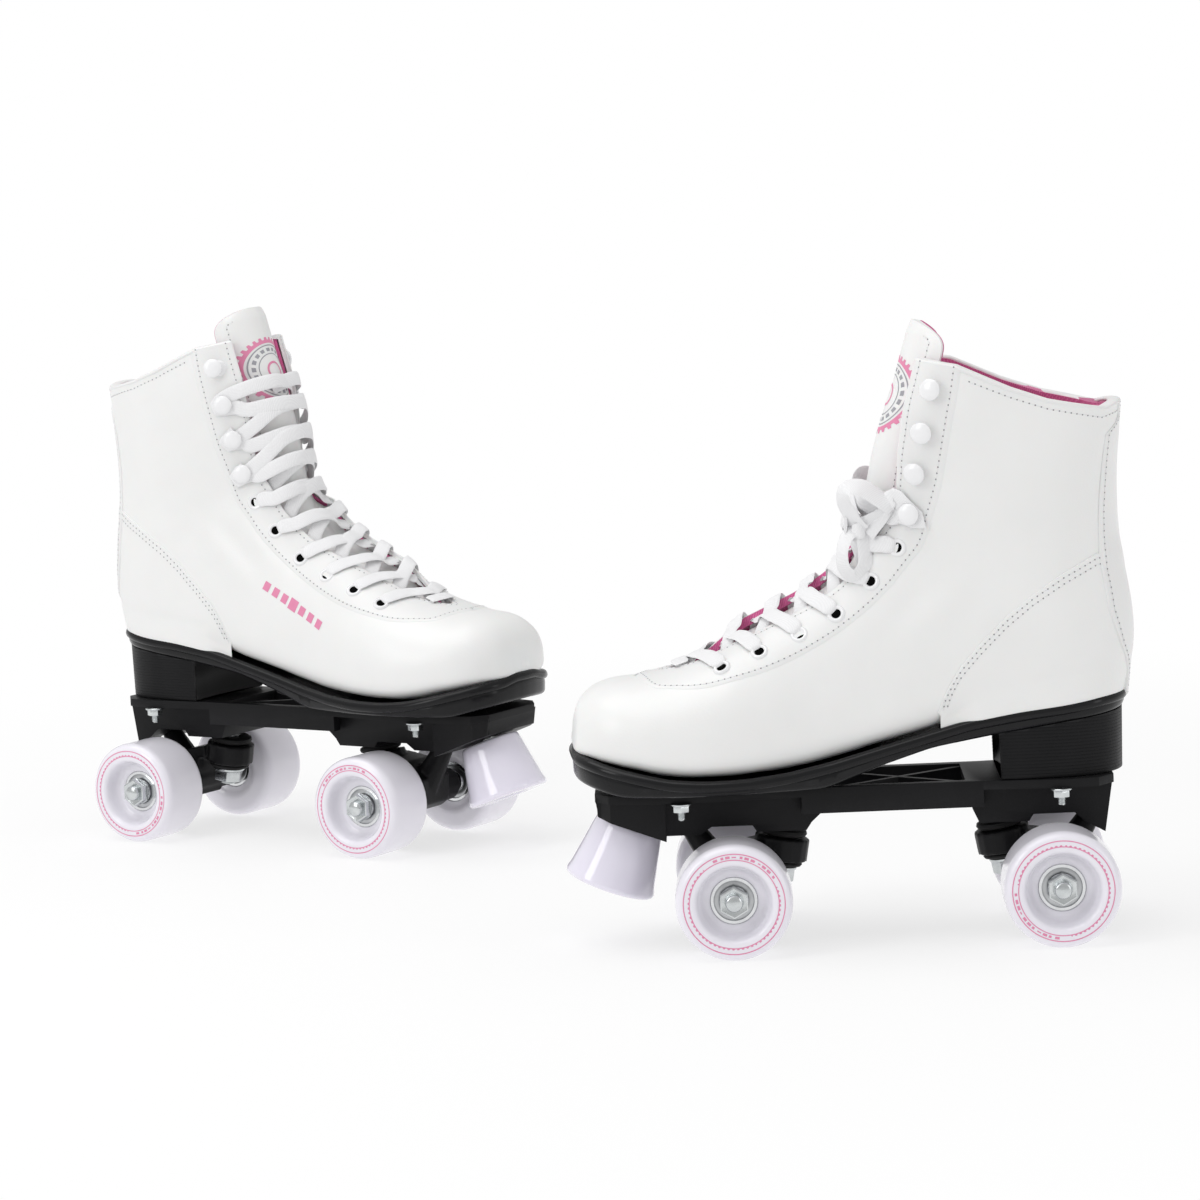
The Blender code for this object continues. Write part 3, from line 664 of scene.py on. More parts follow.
WHITE_LEATHER = coated_leather("coated_leather", (0.80, 0.80, 0.79), (0.86, 0.86, 0.855), 1100, 0.16)
STRIP_LEATHER = coated_leather("strip_leather", (0.78, 0.78, 0.775), (0.83, 0.83, 0.825), 1300, 0.2)
PINK_LINING = woven("pink_lining", (0.62, 0.10, 0.28), (0.80, 0.20, 0.42), threads=420, depth=0.5)
LACE_COTTON = woven(
    "lace_cotton", (0.83, 0.83, 0.84), (0.92, 0.92, 0.925), threads=620, depth=0.45, roughness=0.6,
    sheen=0.1
)
THREAD = woven("stitch_thread", (0.80, 0.80, 0.80), (0.87, 0.87, 0.87), threads=1600, depth=0.3, sheen=0.0)
# Dark grey discs at the needle holes: painted shade of the holes, laid on the leather as a colour.
STITCH_SHADE_INK = print_ink("stitch_hole_painted_shade", (0.22, 0.22, 0.23), (0.32, 0.32, 0.33))
# Near-black plugs in the eyelets: painted shade standing where the open holes would be dark.
EYELET_SHADE_FILL = moulded(
    "eyelet_hole_painted_shade", (0.002, 0.002, 0.002), (0.004, 0.004, 0.004), 0.9, shine=0.02, worn=(0.004, 0.004, 0.004)
)
SOLE_RUBBER = moulded(
    "sole_rubber", (0.005, 0.005, 0.0055), (0.009, 0.009, 0.01), 0.26, coat=0.18, depth=0.1
)
HEEL_RUBBER = moulded("heel_rubber", (0.006, 0.006, 0.0065), (0.010, 0.010, 0.011), 0.42)
NYLON = moulded("black_nylon", (0.006, 0.006, 0.0065), (0.011, 0.011, 0.012), 0.4, size=2000, depth=0.3)
CUSHION = moulded("cushion_rubber", (0.012, 0.012, 0.012), (0.02, 0.02, 0.02), 0.55)
WHEEL_CAST = cast_urethane("wheel_cast", (0.82, 0.80, 0.87), (0.87, 0.85, 0.91), 0.2)
STOP_CAST = cast_urethane("stop_cast", (0.80, 0.77, 0.88), (0.85, 0.82, 0.92), 0.12, coat=0.6)
ZINC = plated_steel("zinc", (0.50, 0.53, 0.54), (0.74, 0.76, 0.76), 0.22)
BEARING = plated_steel("bearing_ring", (0.6, 0.61, 0.62), (0.78, 0.79, 0.80), 0.16)
DARK_SHIELD = plated_steel("bearing_shield", (0.42, 0.43, 0.44), (0.55, 0.56, 0.57), 0.3)
PINK_INK = print_ink("pink_ink", (0.72, 0.22, 0.38), (0.78, 0.28, 0.44))
GREY_INK = print_ink("grey_ink", (0.30, 0.30, 0.33), (0.38, 0.38, 0.41))
ENAMEL = moulded(
    "white_enamel", (0.82, 0.82, 0.83), (0.88, 0.88, 0.89), 0.22, depth=0.05, coat=0.4,
    worn=(0.8, 0.8, 0.8), shine=0.5
)


# ---------------------------------------------------------------- places on the boot

PROBE_U, PROBE_A = np.meshgrid(np.linspace(0, TOP_ROW, 481), np.linspace(0, math.pi, 361), indexing="ij")
PROBE = boot_points(PROBE_U, PROBE_A)


def place_on_boot(point):
    """(row, angle) of the boot's surface nearest to a point. The angle is negative on the outer side."""
    away = ((PROBE - np.array((point[0], abs(point[1]), point[2]))) ** 2).sum(-1)
    nearest = np.unravel_index(np.argmin(away), away.shape)
    return PROBE_U[nearest], math.copysign(PROBE_A[nearest], point[1])


def skin(u, angle, lift=0.0):
    """(points, outward normals) of the boot's surface, raised by a lift."""
    u, angle, lift = np.broadcast_arrays(*(np.asarray(v, float) for v in (u, angle, lift)))
    step = 0.03
    points = boot_points(u, angle)
    along = boot_points(np.minimum(u + step, TOP_ROW), angle) - boot_points(np.maximum(u - step, 0), angle)
    around = boot_points(u, angle + step) - boot_points(u, angle - step)
    normals = np.cross(around, along)
    normals /= np.maximum(np.linalg.norm(normals, axis=-1), 1e-9)[..., None]
    rows = rows_at(u)
    centre = np.stack([(rows[..., 0] + rows[..., 2]) / 2, 0 * u, (rows[..., 1] + rows[..., 3]) / 2], -1)
    normals *= np.where(((points - centre) * normals).sum(-1) < 0, -1, 1)[..., None]
    return points + normals * lift[..., None], normals


def even(path, count):
    """(row, angle) places spaced evenly by their distance over the surface."""
    path = np.array(path, float)
    points = boot_points(path[:, 0], path[:, 1])
    lengths = distances(points)
    return values_at(np.linspace(0, lengths[-1], count), lengths, path)


def spread(path, count=200):
    """A smooth line of (row, angle) places through the given ones."""
    bent = smooth_path([(u, 12 * a, 0) for u, a in path], count)
    return np.stack([bent[:, 0], bent[:, 1] / 12], 1)


def wobble(points, seed, size, count=7):
    """Smooth noise of about -1 to 1 over points, from a few crossed waves of about that size."""
    rng = np.random.default_rng(seed)
    total = np.zeros(points.shape[:-1])
    for _ in range(count):
        direction = rng.normal(size=3)
        direction /= np.linalg.norm(direction)
        wave = 2 * math.pi / (size * rng.uniform(0.7, 1.6))
        total += np.sin(points @ direction * wave + rng.uniform(0, 6.28))
    return total / math.sqrt(count) / 1.2


# ---------------------------------------------------------------- the boot


def dressed(points, normals):
    """The leather's slight unevenness: slow swells everywhere and soft creases in front of the ankle."""
    swell = 0.28 * wobble(points, 3, 46) + 0.1 * wobble(points, 5, 17)
    x, z = points[..., 0], points[..., 2]
    near = np.exp(-(((x + 14) / 26) ** 2) - ((z - 168) / 30) ** 2)
    run = 0.62 * (x + 14) + 0.78 * (z - 168)
    crease = near * 0.5 * (np.sin(run / 4.6 + 0.04 * (x - z)) + 0.6 * np.sin(run / 2.9 + 1.3))
    return points + normals * (swell + crease)[..., None]


def boot_band(rows, columns, outside, inside, gap_more=0.0, last=TOP_ROW, lip=False):
    """The outer and inner points of a shell over the whole boot, open at the lacing gap and the cuff.

    Its outer face is inset by a number, and its inner face by a function of the row.
    """
    u = np.concatenate(
        [np.linspace(0, 5, rows // 4, endpoint=False), np.linspace(5, last, rows - rows // 4)]
    )
    start = angle_at(u, half_gap(u) + np.where(half_gap(u) > 0, gap_more, 0))
    angle = round_boot(start, columns)
    out_points, out_normals = skin(u[:, None], angle)
    if outside:
        depth = np.full((rows, columns), float(outside))
        if lip:
            # Along the lacing gap the lining turns up beside the edge of the leather.
            depth[half_gap(u) > 6, -3:] = (1.6, 0.2, -0.2)
        out_points = boot_points(u[:, None], angle, depth)
    out_points = dressed(out_points, out_normals)
    in_points = boot_points(u[:, None], angle, inside(u)[:, None])
    return out_points, in_points


def toe_tip(ring, count=4):
    """Rows that close a shell's foremost ring."""
    centre = ring.mean(axis=0)
    shares = np.linspace(0.02, 1, count + 1)[:-1]
    return np.stack([centre + (ring - centre) * s + np.array((0.7 * (1 - s * s), 0, 0)) for s in shares])


def boot_mesh():
    """The leather of the boot, closed at the toe."""
    outer, inner = boot_band(250, 221, 0, lambda u: np.full_like(u, LEATHER_THICK))
    shell = grid_mesh(
        np.concatenate([outer, inner[:, ::-1]], axis=1), "shell", close_columns=True, caps=True
    )
    tip = grid_mesh(np.concatenate([toe_tip(outer[0]), outer[:1]]), "tip")
    return finished(joined([shell, tip], "boot"))


def finished(mesh, sharp=50):
    """The mesh with its faces turned outwards and its edges sharpened."""
    bm = bmesh.new()
    bm.from_mesh(mesh)
    out_facing(bm)
    name = mesh.name
    bpy.data.meshes.remove(mesh)
    return mesh_from(bm, name, sharp)


def lining_mesh(lip):
    """The padded lining, with a lip that stands beside the lacing gap or without it."""
    def depth(u):
        # The padding is thicker round the cuff.
        return 4.2 + 1.9 * eased(np.clip((u - 20.4) / 1.2, 0, 1))

    outer, inner = boot_band(
        120, 121, 2.9, depth, gap_more=-1.0 if lip else 0.5, last=TOP_ROW - 0.03, lip=lip
    )
    return finished(
        grid_mesh(np.concatenate([outer, inner[:, ::-1]], axis=1), "lining", close_columns=True, caps=True)
    )


def overlay(inner, outer, lift, name):
    """A raised leather piece between two lines of (row, angle) places, with its edges turned down."""
    width = np.linalg.norm(skin(inner[:, 0], inner[:, 1])[0] - skin(outer[:, 0], outer[:, 1])[0], axis=1)
    width = np.maximum(width, 1)[:, None]
    edge = np.array((-0.25, -0.25, 0.1, 0.7, 1.6))
    share = np.concatenate(
        [
            np.broadcast_to(edge, (len(inner), 5)) / width,
            np.broadcast_to(np.linspace(0.1, 0.9, 12), (len(inner), 12)), 1 - edge[::-1] / width
        ],
        1
    )
    share = np.maximum.accumulate(share, axis=1)
    first_edge = (-0.5, 0.3 * lift, 0.8 * lift, lift, lift)
    second_edge = (0.85 * lift, 0.6 * lift, 0.3 * lift, 0.1 * lift, -0.3)
    lifts = np.concatenate([first_edge, np.full(12, lift), second_edge])
    place = inner[:, None] + (outer - inner)[:, None] * share[..., None]
    points, normals = skin(place[..., 0], place[..., 1])
    points = dressed(points, normals) + normals * lifts[None, :, None]
    ends = [points[i] - normals[i] * (lifts[:, None] + 0.6) for i in (0, -1)]
    points = np.concatenate([ends[0][None], points, ends[1][None]])
    return finished(grid_mesh(points, name, sharp=45), 45)


FACING_LIFT = 0.55


def facing_lines(count=300):
    """The lacing edge and the rear seam of the facings, from one end of the cuff to the other."""
    u = TOP_ROW - (TOP_ROW - THROAT) * np.linspace(0, 1, 400) ** 0.8
    inner = [(a, b) for a, b in zip(u, angle_at(u, half_gap(u)))]
    outer = [place_on_boot(on_boot(x, z)[0]) for x, z in FACING_SEAM]
    outer[0] = (TOP_ROW, outer[0][1])
    outer = list(map(tuple, spread(outer + [(4.85, 0.0)], 300)))
    lines = []
    for path in (inner, outer):
        path = path + [(a, -b) for a, b in path[-2::-1]]
        lines.append(even(path, count))
    return lines


def offset_line(inner, outer, away):
    """A line a real distance from the first of two lines, or from the second where it is negative."""
    width = np.linalg.norm(
        skin(inner[:, 0], inner[:, 1])[0] - skin(outer[:, 0], outer[:, 1])[0], axis=1
    )[:, None]
    share = away / np.maximum(width, 4) if away > 0 else 1 + away / np.maximum(width, 4)
    return inner + (outer - inner) * share


HEEL_X = -62


def around_heel(theta, z):
    """(point, normal) where the boot's heel is met from outside, going in towards its upright middle line."""
    direction = np.array((math.cos(theta), math.sin(theta), 0))
    hit, normal, _, _ = BOOT_TREE.ray_cast(
        Vector(np.array((HEEL_X, 0, z)) + direction * 150), Vector(-direction)
    )
    if hit is None:
        hit, normal, _, _ = BOOT_TREE.find_nearest(Vector(np.array((HEEL_X, 0, z)) + direction * 45))
    if normal.dot(Vector(direction)) < 0:
        normal = -normal
    return np.array(hit), np.array(normal)


def along_outline(outline, count):
    """The closed outline of (x, y) points of a symmetric piece, from its right half, evenly spaced."""
    half = [(x, w, 0.0) for x, w in outline]
    whole = half + [(x, -w, 0.0) for x, w, _ in half[::-1]]
    return smooth_path(whole + whole[:1], count + 1)[:-1, :2]


RIM = sorted(
    (math.atan2(w, x - HEEL_X), math.hypot(x - HEEL_X, w))
    for x, w in along_outline(SOLE_OUTLINE, 420) if w >= 0
)
SEAT_HEIGHT = 15


def heel_wall(theta, z, foot):
    """As around_heel, but near its foot the wall runs down to the rim of the sole.

    The leather fills the heel seat there.
    """
    point, normal = around_heel(theta, z)
    if z >= foot + SEAT_HEIGHT:
        return point, normal
    above, above_normal = around_heel(theta, foot + SEAT_HEIGHT)
    wide = math.hypot(above[0] - HEEL_X, above[1])
    turns, reaches = zip(*RIM)
    turned_by = abs(math.remainder(theta, 2 * math.pi))
    rim = float(np.interp(turned_by, turns, reaches)) - 0.4
    down = (foot + SEAT_HEIGHT - z) / SEAT_HEIGHT
    reach = wide + (rim - wide) * eased(down)
    # In front, the foot of the wall goes back to the boot's own side.
    own = around_heel(theta, max(z, foot + 9))[0]
    share = min(max((turned_by - 0.68) / 0.35, 0), 1)
    reach += (math.hypot(own[0] - HEEL_X, own[1]) - reach) * (1 - eased(share))
    flat = above_normal * (1, 1, 0)
    direction = np.array((math.cos(theta), math.sin(theta), 0))
    return np.array((HEEL_X, 0, z)) + direction * reach, flat / np.linalg.norm(flat)


def sole_top(x):
    """The height at which the leather meets the sole."""
    rows = SECTIONS[:17]
    order = np.argsort(rows[:, 2])
    return np.interp(x, np.concatenate([[-112], rows[order, 2]]), np.concatenate([[111.5], rows[order, 3]]))


def counter_lines(count=150):
    """(direction, height of the lower edge, height of the seam) for directions round the heel."""
    seam_x, seam_z = zip(*sorted(COUNTER_SEAM))
    found = []
    for theta in np.linspace(math.radians(37.5), math.pi, count // 2):
        height = 120.0
        for _ in range(8):
            height = 0.5 * height + 0.5 * float(np.interp(around_heel(theta, height)[0][0], seam_x, seam_z))
        low = float(sole_top(around_heel(theta, height)[0][0])) - 1.6
        found.append((theta, low, max(height, low)))
    return found + [(2 * math.pi - t, low, high) for t, low, high in found[-2::-1]]


COUNTER = counter_lines()


def cast_grid(places, lifts):
    """Points met on the boot for rows of (a function, its arguments), lifted along the normals."""
    points = []
    for row, lift_row in zip(places, lifts):
        met = [function(*arguments) for function, arguments in row]
        points.append([point + normal * lift for (point, normal), lift in zip(met, lift_row)])
    return np.array(points)


def counter_mesh(lift=0.6):
    """The heel counter, a second leather that wraps the heel up to its slanted seam."""
    places, lifts = [], []
    for theta, low, high in COUNTER:
        share = np.concatenate(
            [np.linspace(0, 1, 26)[:-1] * (high - 1.5 - low) + low, [high - 0.8, high - 0.2, high, high]]
        )
        share = np.clip(share, low, high)
        places.append([(heel_wall, (theta, z, low)) for z in share])
        lifts.append([0.0] + [lift] * 24 + [lift, 0.85 * lift, 0.3 * lift, -0.5])
    points = cast_grid(places, lifts)
    for _ in range(2):
        points[1:-1, :-3] = (points[:-2, :-3] + 2 * points[1:-1, :-3] + points[2:, :-3]) / 4
    return finished(grid_mesh(points, "counter", sharp=45), 45)


def from_behind(y, z):
    """(point, normal) of the boot where it is met from behind; below the last, the wall goes on down."""
    if z < 126:
        point, normal = from_behind(y, 126)
        return point + np.array((0.13 * (126 - z), 0, z - 126)), normal
    hit, normal, _, _ = BOOT_TREE.ray_cast(Vector((-250, y, z)), Vector((1, 0, 0)))
    return np.array(hit), np.array(normal if normal.x < 0 else -normal)


def strip_half(z):
    """Half the width of the back strip."""
    heights = [(bz, abs(on_boot(bx, bz)[0][1])) for bx, bz in BACK_STRIP]
    heights.sort()
    return float(np.interp(z, [h for h, _ in heights], [w for _, w in heights]))


STRIP_HEIGHTS = np.linspace(105, 246, 40)
STRIP_WIDTHS = [max(strip_half(h), 9.0) for h in STRIP_HEIGHTS]


def strip_edge(z):
    return float(np.interp(z, STRIP_HEIGHTS, STRIP_WIDTHS))


def strip_lift(z):
    return 1.5 - 0.6 * eased(min(max((z - 172) / 12, 0), 1))


def strip_mesh():
    """The back strip, over the boot's rear from the cuff to the sole."""
    places, lifts = [], []
    for z in np.linspace(109, 244.6, 90):
        half = strip_edge(z)
        inner = np.linspace(-1, 1, 25)[1:-1] * (half - 1)
        across = np.concatenate([[-half, -half, -half + 0.4], inner, [half - 0.4, half, half]])
        places.append([(from_behind, (y, z)) for y in across])
        up = strip_lift(z)
        lifts.append([-0.4, 0.4 * up, 0.85 * up] + [up] * len(inner) + [0.85 * up, 0.4 * up, -0.4])
    return finished(grid_mesh(cast_grid(places, lifts), "strip", sharp=45), 45)


def cuff_bead():
    """The turned-over top edge, which covers the ends of the leather and of the lining."""
    start = float(angle_at(TOP_ROW, half_gap(TOP_ROW)))
    angle = np.linspace(start, 2 * math.pi - start, 260)
    line = boot_points(TOP_ROW, angle, 2.4)
    normals = np.tile((0.0, 0.0, 1.0), (len(line), 1))
    rings = ribbon_points(line, normals, 6.2, 2.6, around=14)
    return finished(grid_mesh(rings, "bead", close_columns=True, caps=True, sharp=80), 80)


# ---------------------------------------------------------------- the tongue


def tongue_rings(rows=110, columns=41):
    """The front, middle and back surfaces of the padded tongue as three grids."""
    base, wall = 6.4, 4.4
    lifts = 16.2 * (1 - (1 - np.linspace(0, 1, 22)[1:]) ** 1.6)
    rows_u = [(u, 0.0) for u in np.linspace(THROAT + 0.5, TOP_ROW, rows)] + [(TOP_ROW, h) for h in lifts]
    grids = ([], [], [])
    for u, high in rows_u:
        narrow = max(1 - (high / 16.4) ** 4.5, 0) ** 0.5
        half = min(rows_at(u)[4] - base - 2.5, 20 + 0.35 * (u - THROAT)) * narrow
        across = half * np.linspace(-1, 1, columns)
        gap = max(float(rows_at(u)[6]) - 2, 1)
        swell = 1.2 if u < 13 else 1.2 + 2.0 * min((u - 13) / 3, 1)
        rise = np.maximum(0, 1 - np.abs(across) / gap) ** 0.8 * swell
        border = eased(np.clip((half - np.abs(across)) / 5.0, 0, 1))
        if high:
            border = border * np.clip((16.2 - high) / 5, 0.05, 1)
        angle = np.sign(across) * angle_at(u, np.abs(across))
        shift = np.array((-0.3 * high, 0, high))
        insets = (base + 0.9 * (1 - border) - rise, base + 2.0, base + 2.6 + (wall - 2.6) * border)
        for grid, inset in zip(grids, insets):
            grid.append(boot_points(np.full(columns, u), angle, inset) + shift)
    return [np.array(grid) for grid in grids]


TONGUE_FRONT, TONGUE_MIDDLE, TONGUE_BACK = tongue_rings()


def tongue_mesh(front, back, name):
    points = np.concatenate([front, back[:, ::-1]], axis=1)
    return finished(grid_mesh(points, name, close_columns=True, caps=True, sharp=70), 70)


# ---------------------------------------------------------------- stitching and print


def scattered(points, faces, frames, name):
    """Copies of a small shape, one for each frame of (place, X, Y, Z directions)."""
    points = np.array(points, float)
    all_points = np.concatenate([place + points @ np.array(axes) for place, axes in frames])
    all_faces = [[v + i * len(points) for v in face] for i in range(len(frames)) for face in faces]
    mesh = bpy.data.meshes.new(name)
    mesh.from_pydata(all_points.tolist(), [], all_faces)
    mesh.update()
    mesh.shade_smooth()
    return mesh


def capsule(length, radius, sides=6):
    rings = [(-0.5 * length, 0.35), (-0.36 * length, 0.9), (0.36 * length, 0.9), (0.5 * length, 0.35)]
    angles = [2 * math.pi * i / sides for i in range(sides)]
    points = [
        (x, r * radius * math.cos(a), r * radius * math.sin(a)) for x, r in rings for a in angles
    ]
    faces = [
        [i * sides + j, i * sides + (j + 1) % sides, (i + 1) * sides + (j + 1) % sides, (i + 1) * sides + j]
        for i in range(3) for j in range(sides)
    ]
    return points, faces + [list(range(sides))[::-1], list(range(3 * sides, 4 * sides))]


def seam_frames(line, normals, pitch):
    """Places for stitches along a line: (middle of the stitch, axes), and the places of the needle holes."""
    lengths = distances(line)
    count = max(int(lengths[-1] / pitch), 1)
    found = []
    for at in (np.arange(count) + 0.5, np.arange(count + 1)):
        at = at * lengths[-1] / count
        place = values_at(at, lengths, line)
        ahead = values_at(at + 0.6, lengths, line) - values_at(at - 0.6, lengths, line)
        up = values_at(at, lengths, normals)
        ahead /= np.linalg.norm(ahead, axis=1)[:, None]
        across = np.cross(up, ahead)
        across /= np.linalg.norm(across, axis=1)[:, None]
        up = np.cross(ahead, across)
        found.append([(p, (a, c, n)) for p, a, c, n in zip(place, ahead, across, up)])
    return found


def stitching(seams, name, pitch=2.9):
    """(threads, dark discs of painted shade at the needle holes) of seams, each a line of points with
    normals.
    """
    threads, shade_pieces = [], []
    for line, normals in seams:
        first, second = seam_frames(line, normals, pitch)
        threads += [(p - axes[2] * 0.1, axes) for p, axes in first]
        shade_pieces += [(p + axes[2] * 0.06, axes) for p, axes in second]
    # Each needle hole gets a small dark grey disc: painted shade, not a colour of the leather.
    disc = [(0.42 * math.cos(a), 0.36 * math.sin(a), 0) for a in [math.pi * i / 4 for i in range(8)]]
    disc += [(0.6 * x, 0.6 * y, 0.1) for x, y, _ in disc]
    faces = [[i, (i + 1) % 8, 8 + (i + 1) % 8, 8 + i] for i in range(8)] + [list(range(8, 16))]
    points, thread_faces = capsule(pitch * 0.58, 0.3)
    return scattered(points, thread_faces, threads, name), scattered(disc, faces, shade_pieces, name + "_holes")


def boot_seams():
    """The seams of the facings, the cuff, the counter and the back strip."""
    inner, outer = facing_lines()
    seams = []
    for away in (3.6, -2.6):
        line = offset_line(inner, outer, away)
        points, normals = skin(line[:, 0], line[:, 1])
        seams.append((dressed(points, normals) + normals * FACING_LIFT, normals))
    edge_front = float(offset_line(inner, outer, -1.0)[0, 1]) + 0.12
    angle = np.linspace(edge_front, 2 * math.pi - edge_front, 240)
    points, normals = skin(np.full(240, TOP_ROW - 0.42), angle)
    seams.append((dressed(points, normals), normals))
    for drop in (2.2, 5.0):
        met = [
            around_heel(t, high - drop)
            for t, low, high in COUNTER if high - drop > low + 1 and abs(t - math.pi) > 0.5
        ]
        half = len(met) // 2
        for part in (met[:half], met[half:]):
            seams.append((np.array([p + n * 0.6 for p, n in part]), np.array([n for _, n in part])))
    for side in (-1, 1):
        heights = np.linspace(110, 243, 90)
        met = [from_behind(side * (strip_edge(z) - 1.9), z) for z in heights]
        points = np.array([p + n * strip_lift(z) for (p, n), z in zip(met, heights)])
        seams.append((points, np.array([n for _, n in met])))
    return seams


def tongue_seam(tree):
    """The stitched border of the tongue, above the lacing."""
    columns = TONGUE_FRONT.shape[1]
    left, right = [], []
    for row in TONGUE_FRONT[70:-3]:
        width = np.linalg.norm(row[-1] - row[0])
        share = min(4.2 / max(width, 9), 0.48) * (columns - 1)
        for place, edge in ((left, share), (right, columns - 1 - share)):
            i = int(edge)
            place.append(row[i] + (row[min(i + 1, columns - 1)] - row[i]) * (edge - i))
    line = smooth_path(
        left[:-6:4] + [(left[-1] + right[-1]) / 2 - np.array((-0.2, 0, 2.4))] + right[:-6:4][::-1], 260
    )
    met = [tree.find_nearest(Vector(p)) for p in line]
    normals = np.array([tuple(m[1]) for m in met])
    normals *= np.where(normals[:, 0] < 0, -1, 1)[:, None]
    return np.array([tuple(m[0]) for m in met]), normals


def printed(outline_rings, cast, name, lift=0.1):
    """Bands of print: each is two lists of flat points, joined across, which a cast sets on a surface."""
    meshes = []
    for low, high in outline_rings:
        points = [[cast(a, b, lift) for a, b in line] for line in (low, high)]
        meshes.append(grid_mesh(np.array(points), name))
    return joined(meshes, name)


def band(inner, outer, first=0.0, last=2 * math.pi, steps=96):
    """A ring or an arc of print; a radius is a number or a function of the angle."""
    at = np.linspace(first, last, steps + 1)
    return tuple(
        [
            ((r(a) if callable(r) else r) * math.cos(a), (r(a) if callable(r) else r) * math.sin(a))
            for a in at
        ]
        for r in (inner, outer)
    )


def badge_bands():
    """(pink bands, grey bands) of the toothed ring on the tongue."""
    def toothed(a):
        return 18.2 + 0.75 * math.copysign(1, math.sin(a * 30))

    pink = [band(15.7, toothed, steps=240), band(4.2, 5.4, steps=48)]
    grey = [band(14.1, 14.7), band(9.4, 9.9)]
    grey += [band(11.1, 12.9, k * math.pi / 9, k * math.pi / 9 + 0.2, 4) for k in range(18)]
    return pink, grey


# ---------------------------------------------------------------- eyelets, hooks and laces


def at_surface(x, z, side, lift):
    """(point, normal) on the boot's side, the point raised by a lift."""
    point, normal = on_boot(x, z, side)
    return point + normal * lift, normal


def eyelet_meshes(side):
    """(rings, near-black plugs of painted shade that fill their holes) of the seven eyelets on a side."""
    rings, shade_pieces = [], []
    profile = ((2.25, -1.2), (2.3, 0.35), (2.75, 0.85), (3.4, 0.95), (4.0, 0.6), (4.3, 0.0), (4.3, -0.5))
    for x, z in EYELETS:
        point, normal = at_surface(x, z, side, FACING_LIFT)
        rings.append(turned(profile, 28, "eyelet", start=point, axis=normal))
        # A near-black plug fills the eyelet's hole: painted shade of the hole.
        shade_pieces.append(
            turned(((0, 0.3), (2.3, 0.3), (2.3, -0.6), (0, -0.6)), 20, "hole", start=point, axis=normal)
        )
    return joined(rings, "eyelets"), joined(shade_pieces, "eyelet_holes")


def hook_mesh(side):
    """Lace hooks: a riveted foot, a short neck and a round head that stands off towards the rear."""
    meshes = []
    for x, z in HOOKS:
        point, normal = at_surface(x + 1.6, z, side, FACING_LIFT)
        head_at, _ = at_surface(x - 0.8, z, side, FACING_LIFT)
        foot = ((0, 1.1), (2.4, 1.1), (4.0, 0.7), (4.5, 0.1), (4.5, -0.4), (0, -0.4))
        head = ((0, 5.2), (2.6, 5.05), (4.2, 4.6), (4.95, 3.95), (4.9, 3.4), (4.2, 3.1), (0, 3.1))
        meshes.append(turned(foot, 32, "foot", start=point, axis=normal))
        meshes.append(turned(head, 36, "head", start=head_at, axis=normal))
        neck = smooth_path(
            [point + normal * 0.6, point + normal * 2.0 + (point - head_at) * 0.15, head_at + normal * 3.6],
            8
        )
        rings = ribbon_points(neck, np.tile(np.cross(normal, (0, 0, 1)), (8, 1)), 4.6, 2.4)
        meshes.append(grid_mesh(rings, "neck", close_columns=True, caps=True))
    return finished(joined(meshes, "hooks"), 40)


EYELET_SPOTS = [place_on_boot(on_boot(x, z)[0]) for x, z in EYELETS]
HOOK_SPOTS = [place_on_boot(on_boot(x, z)[0]) for x, z in HOOKS]


def lace_points(controls, width=LACE_WIDTH, thick=LACE_THICK, taper=(0.62, 0.62)):
    """A flat lace over (row, angle, lift) places, narrower where it goes through an eyelet."""
    bent = smooth_path([(u * 8, a * 30, lift) for u, a, lift in controls], 64)
    line, normals = skin(bent[:, 0] / 8, bent[:, 1] / 30, bent[:, 2])
    for _ in range(3):
        normals[1:-1] = normals[:-2] + normals[1:-1] + normals[2:]
        normals /= np.linalg.norm(normals, axis=1)[:, None]
    rings = ribbon_points(line, normals, width, thick)
    length = distances(line)
    at_start = np.clip(length / TAPER_LENGTH, 0, 1)
    at_end = np.clip((length[-1] - length) / TAPER_LENGTH, 0, 1)
    share = (taper[0] + (1 - taper[0]) * at_start) * (taper[1] + (1 - taper[1]) * at_end)
    narrowed = line[:, None] + (rings - line[:, None]) * share[:, None, None]
    # Its thickness stays as it is.
    high = ((rings - line[:, None]) * normals[:, None]).sum(-1, keepdims=True)
    return narrowed + normals[:, None] * high * (1 - share)[:, None, None]


def crossing(low, high, side, over, rng, end_lift=-2.5, into=0.0):
    """A strap that comes out under one facing and goes over the other one into the next hole."""
    (u0, a0), (u1, a1) = low, high
    step = u1 - u0
    gap0 = float(angle_at(u0, half_gap(u0)))
    gap1 = float(angle_at(u1 - 0.4 * step, half_gap(u1 - 0.4 * step)))
    jitter = rng.uniform(-0.25, 0.25, 4)
    wide = a1 - gap1
    return [
        (u0, -side * a0 * 0.96, -3.6),
        (u0 + 0.02 + 0.1 * jitter[0], -side * (gap0 + 0.02), -3.0),
        (u0 + step * 0.14, -side * gap0 * 0.62, -0.6),
        (u0 + step * 0.34 + 0.06 * jitter[1], 0.02 * jitter[2], 1.7 + 1.3 * over),
        (u0 + step * 0.5, side * gap1 * 0.7, 2.4 + 0.4 * over),
        (u0 + step * 0.62, side * (gap1 + 0.02), 2.2),
        (u0 + step * 0.81, side * (gap1 + wide * 0.5), 2.0 + 0.5 * into),
        (u0 + step * 0.95, side * (gap1 + wide * 0.85), 1.5 + into),
        (u0 + step * 0.995, side * (gap1 + wide * 0.97), end_lift + into),
    ]


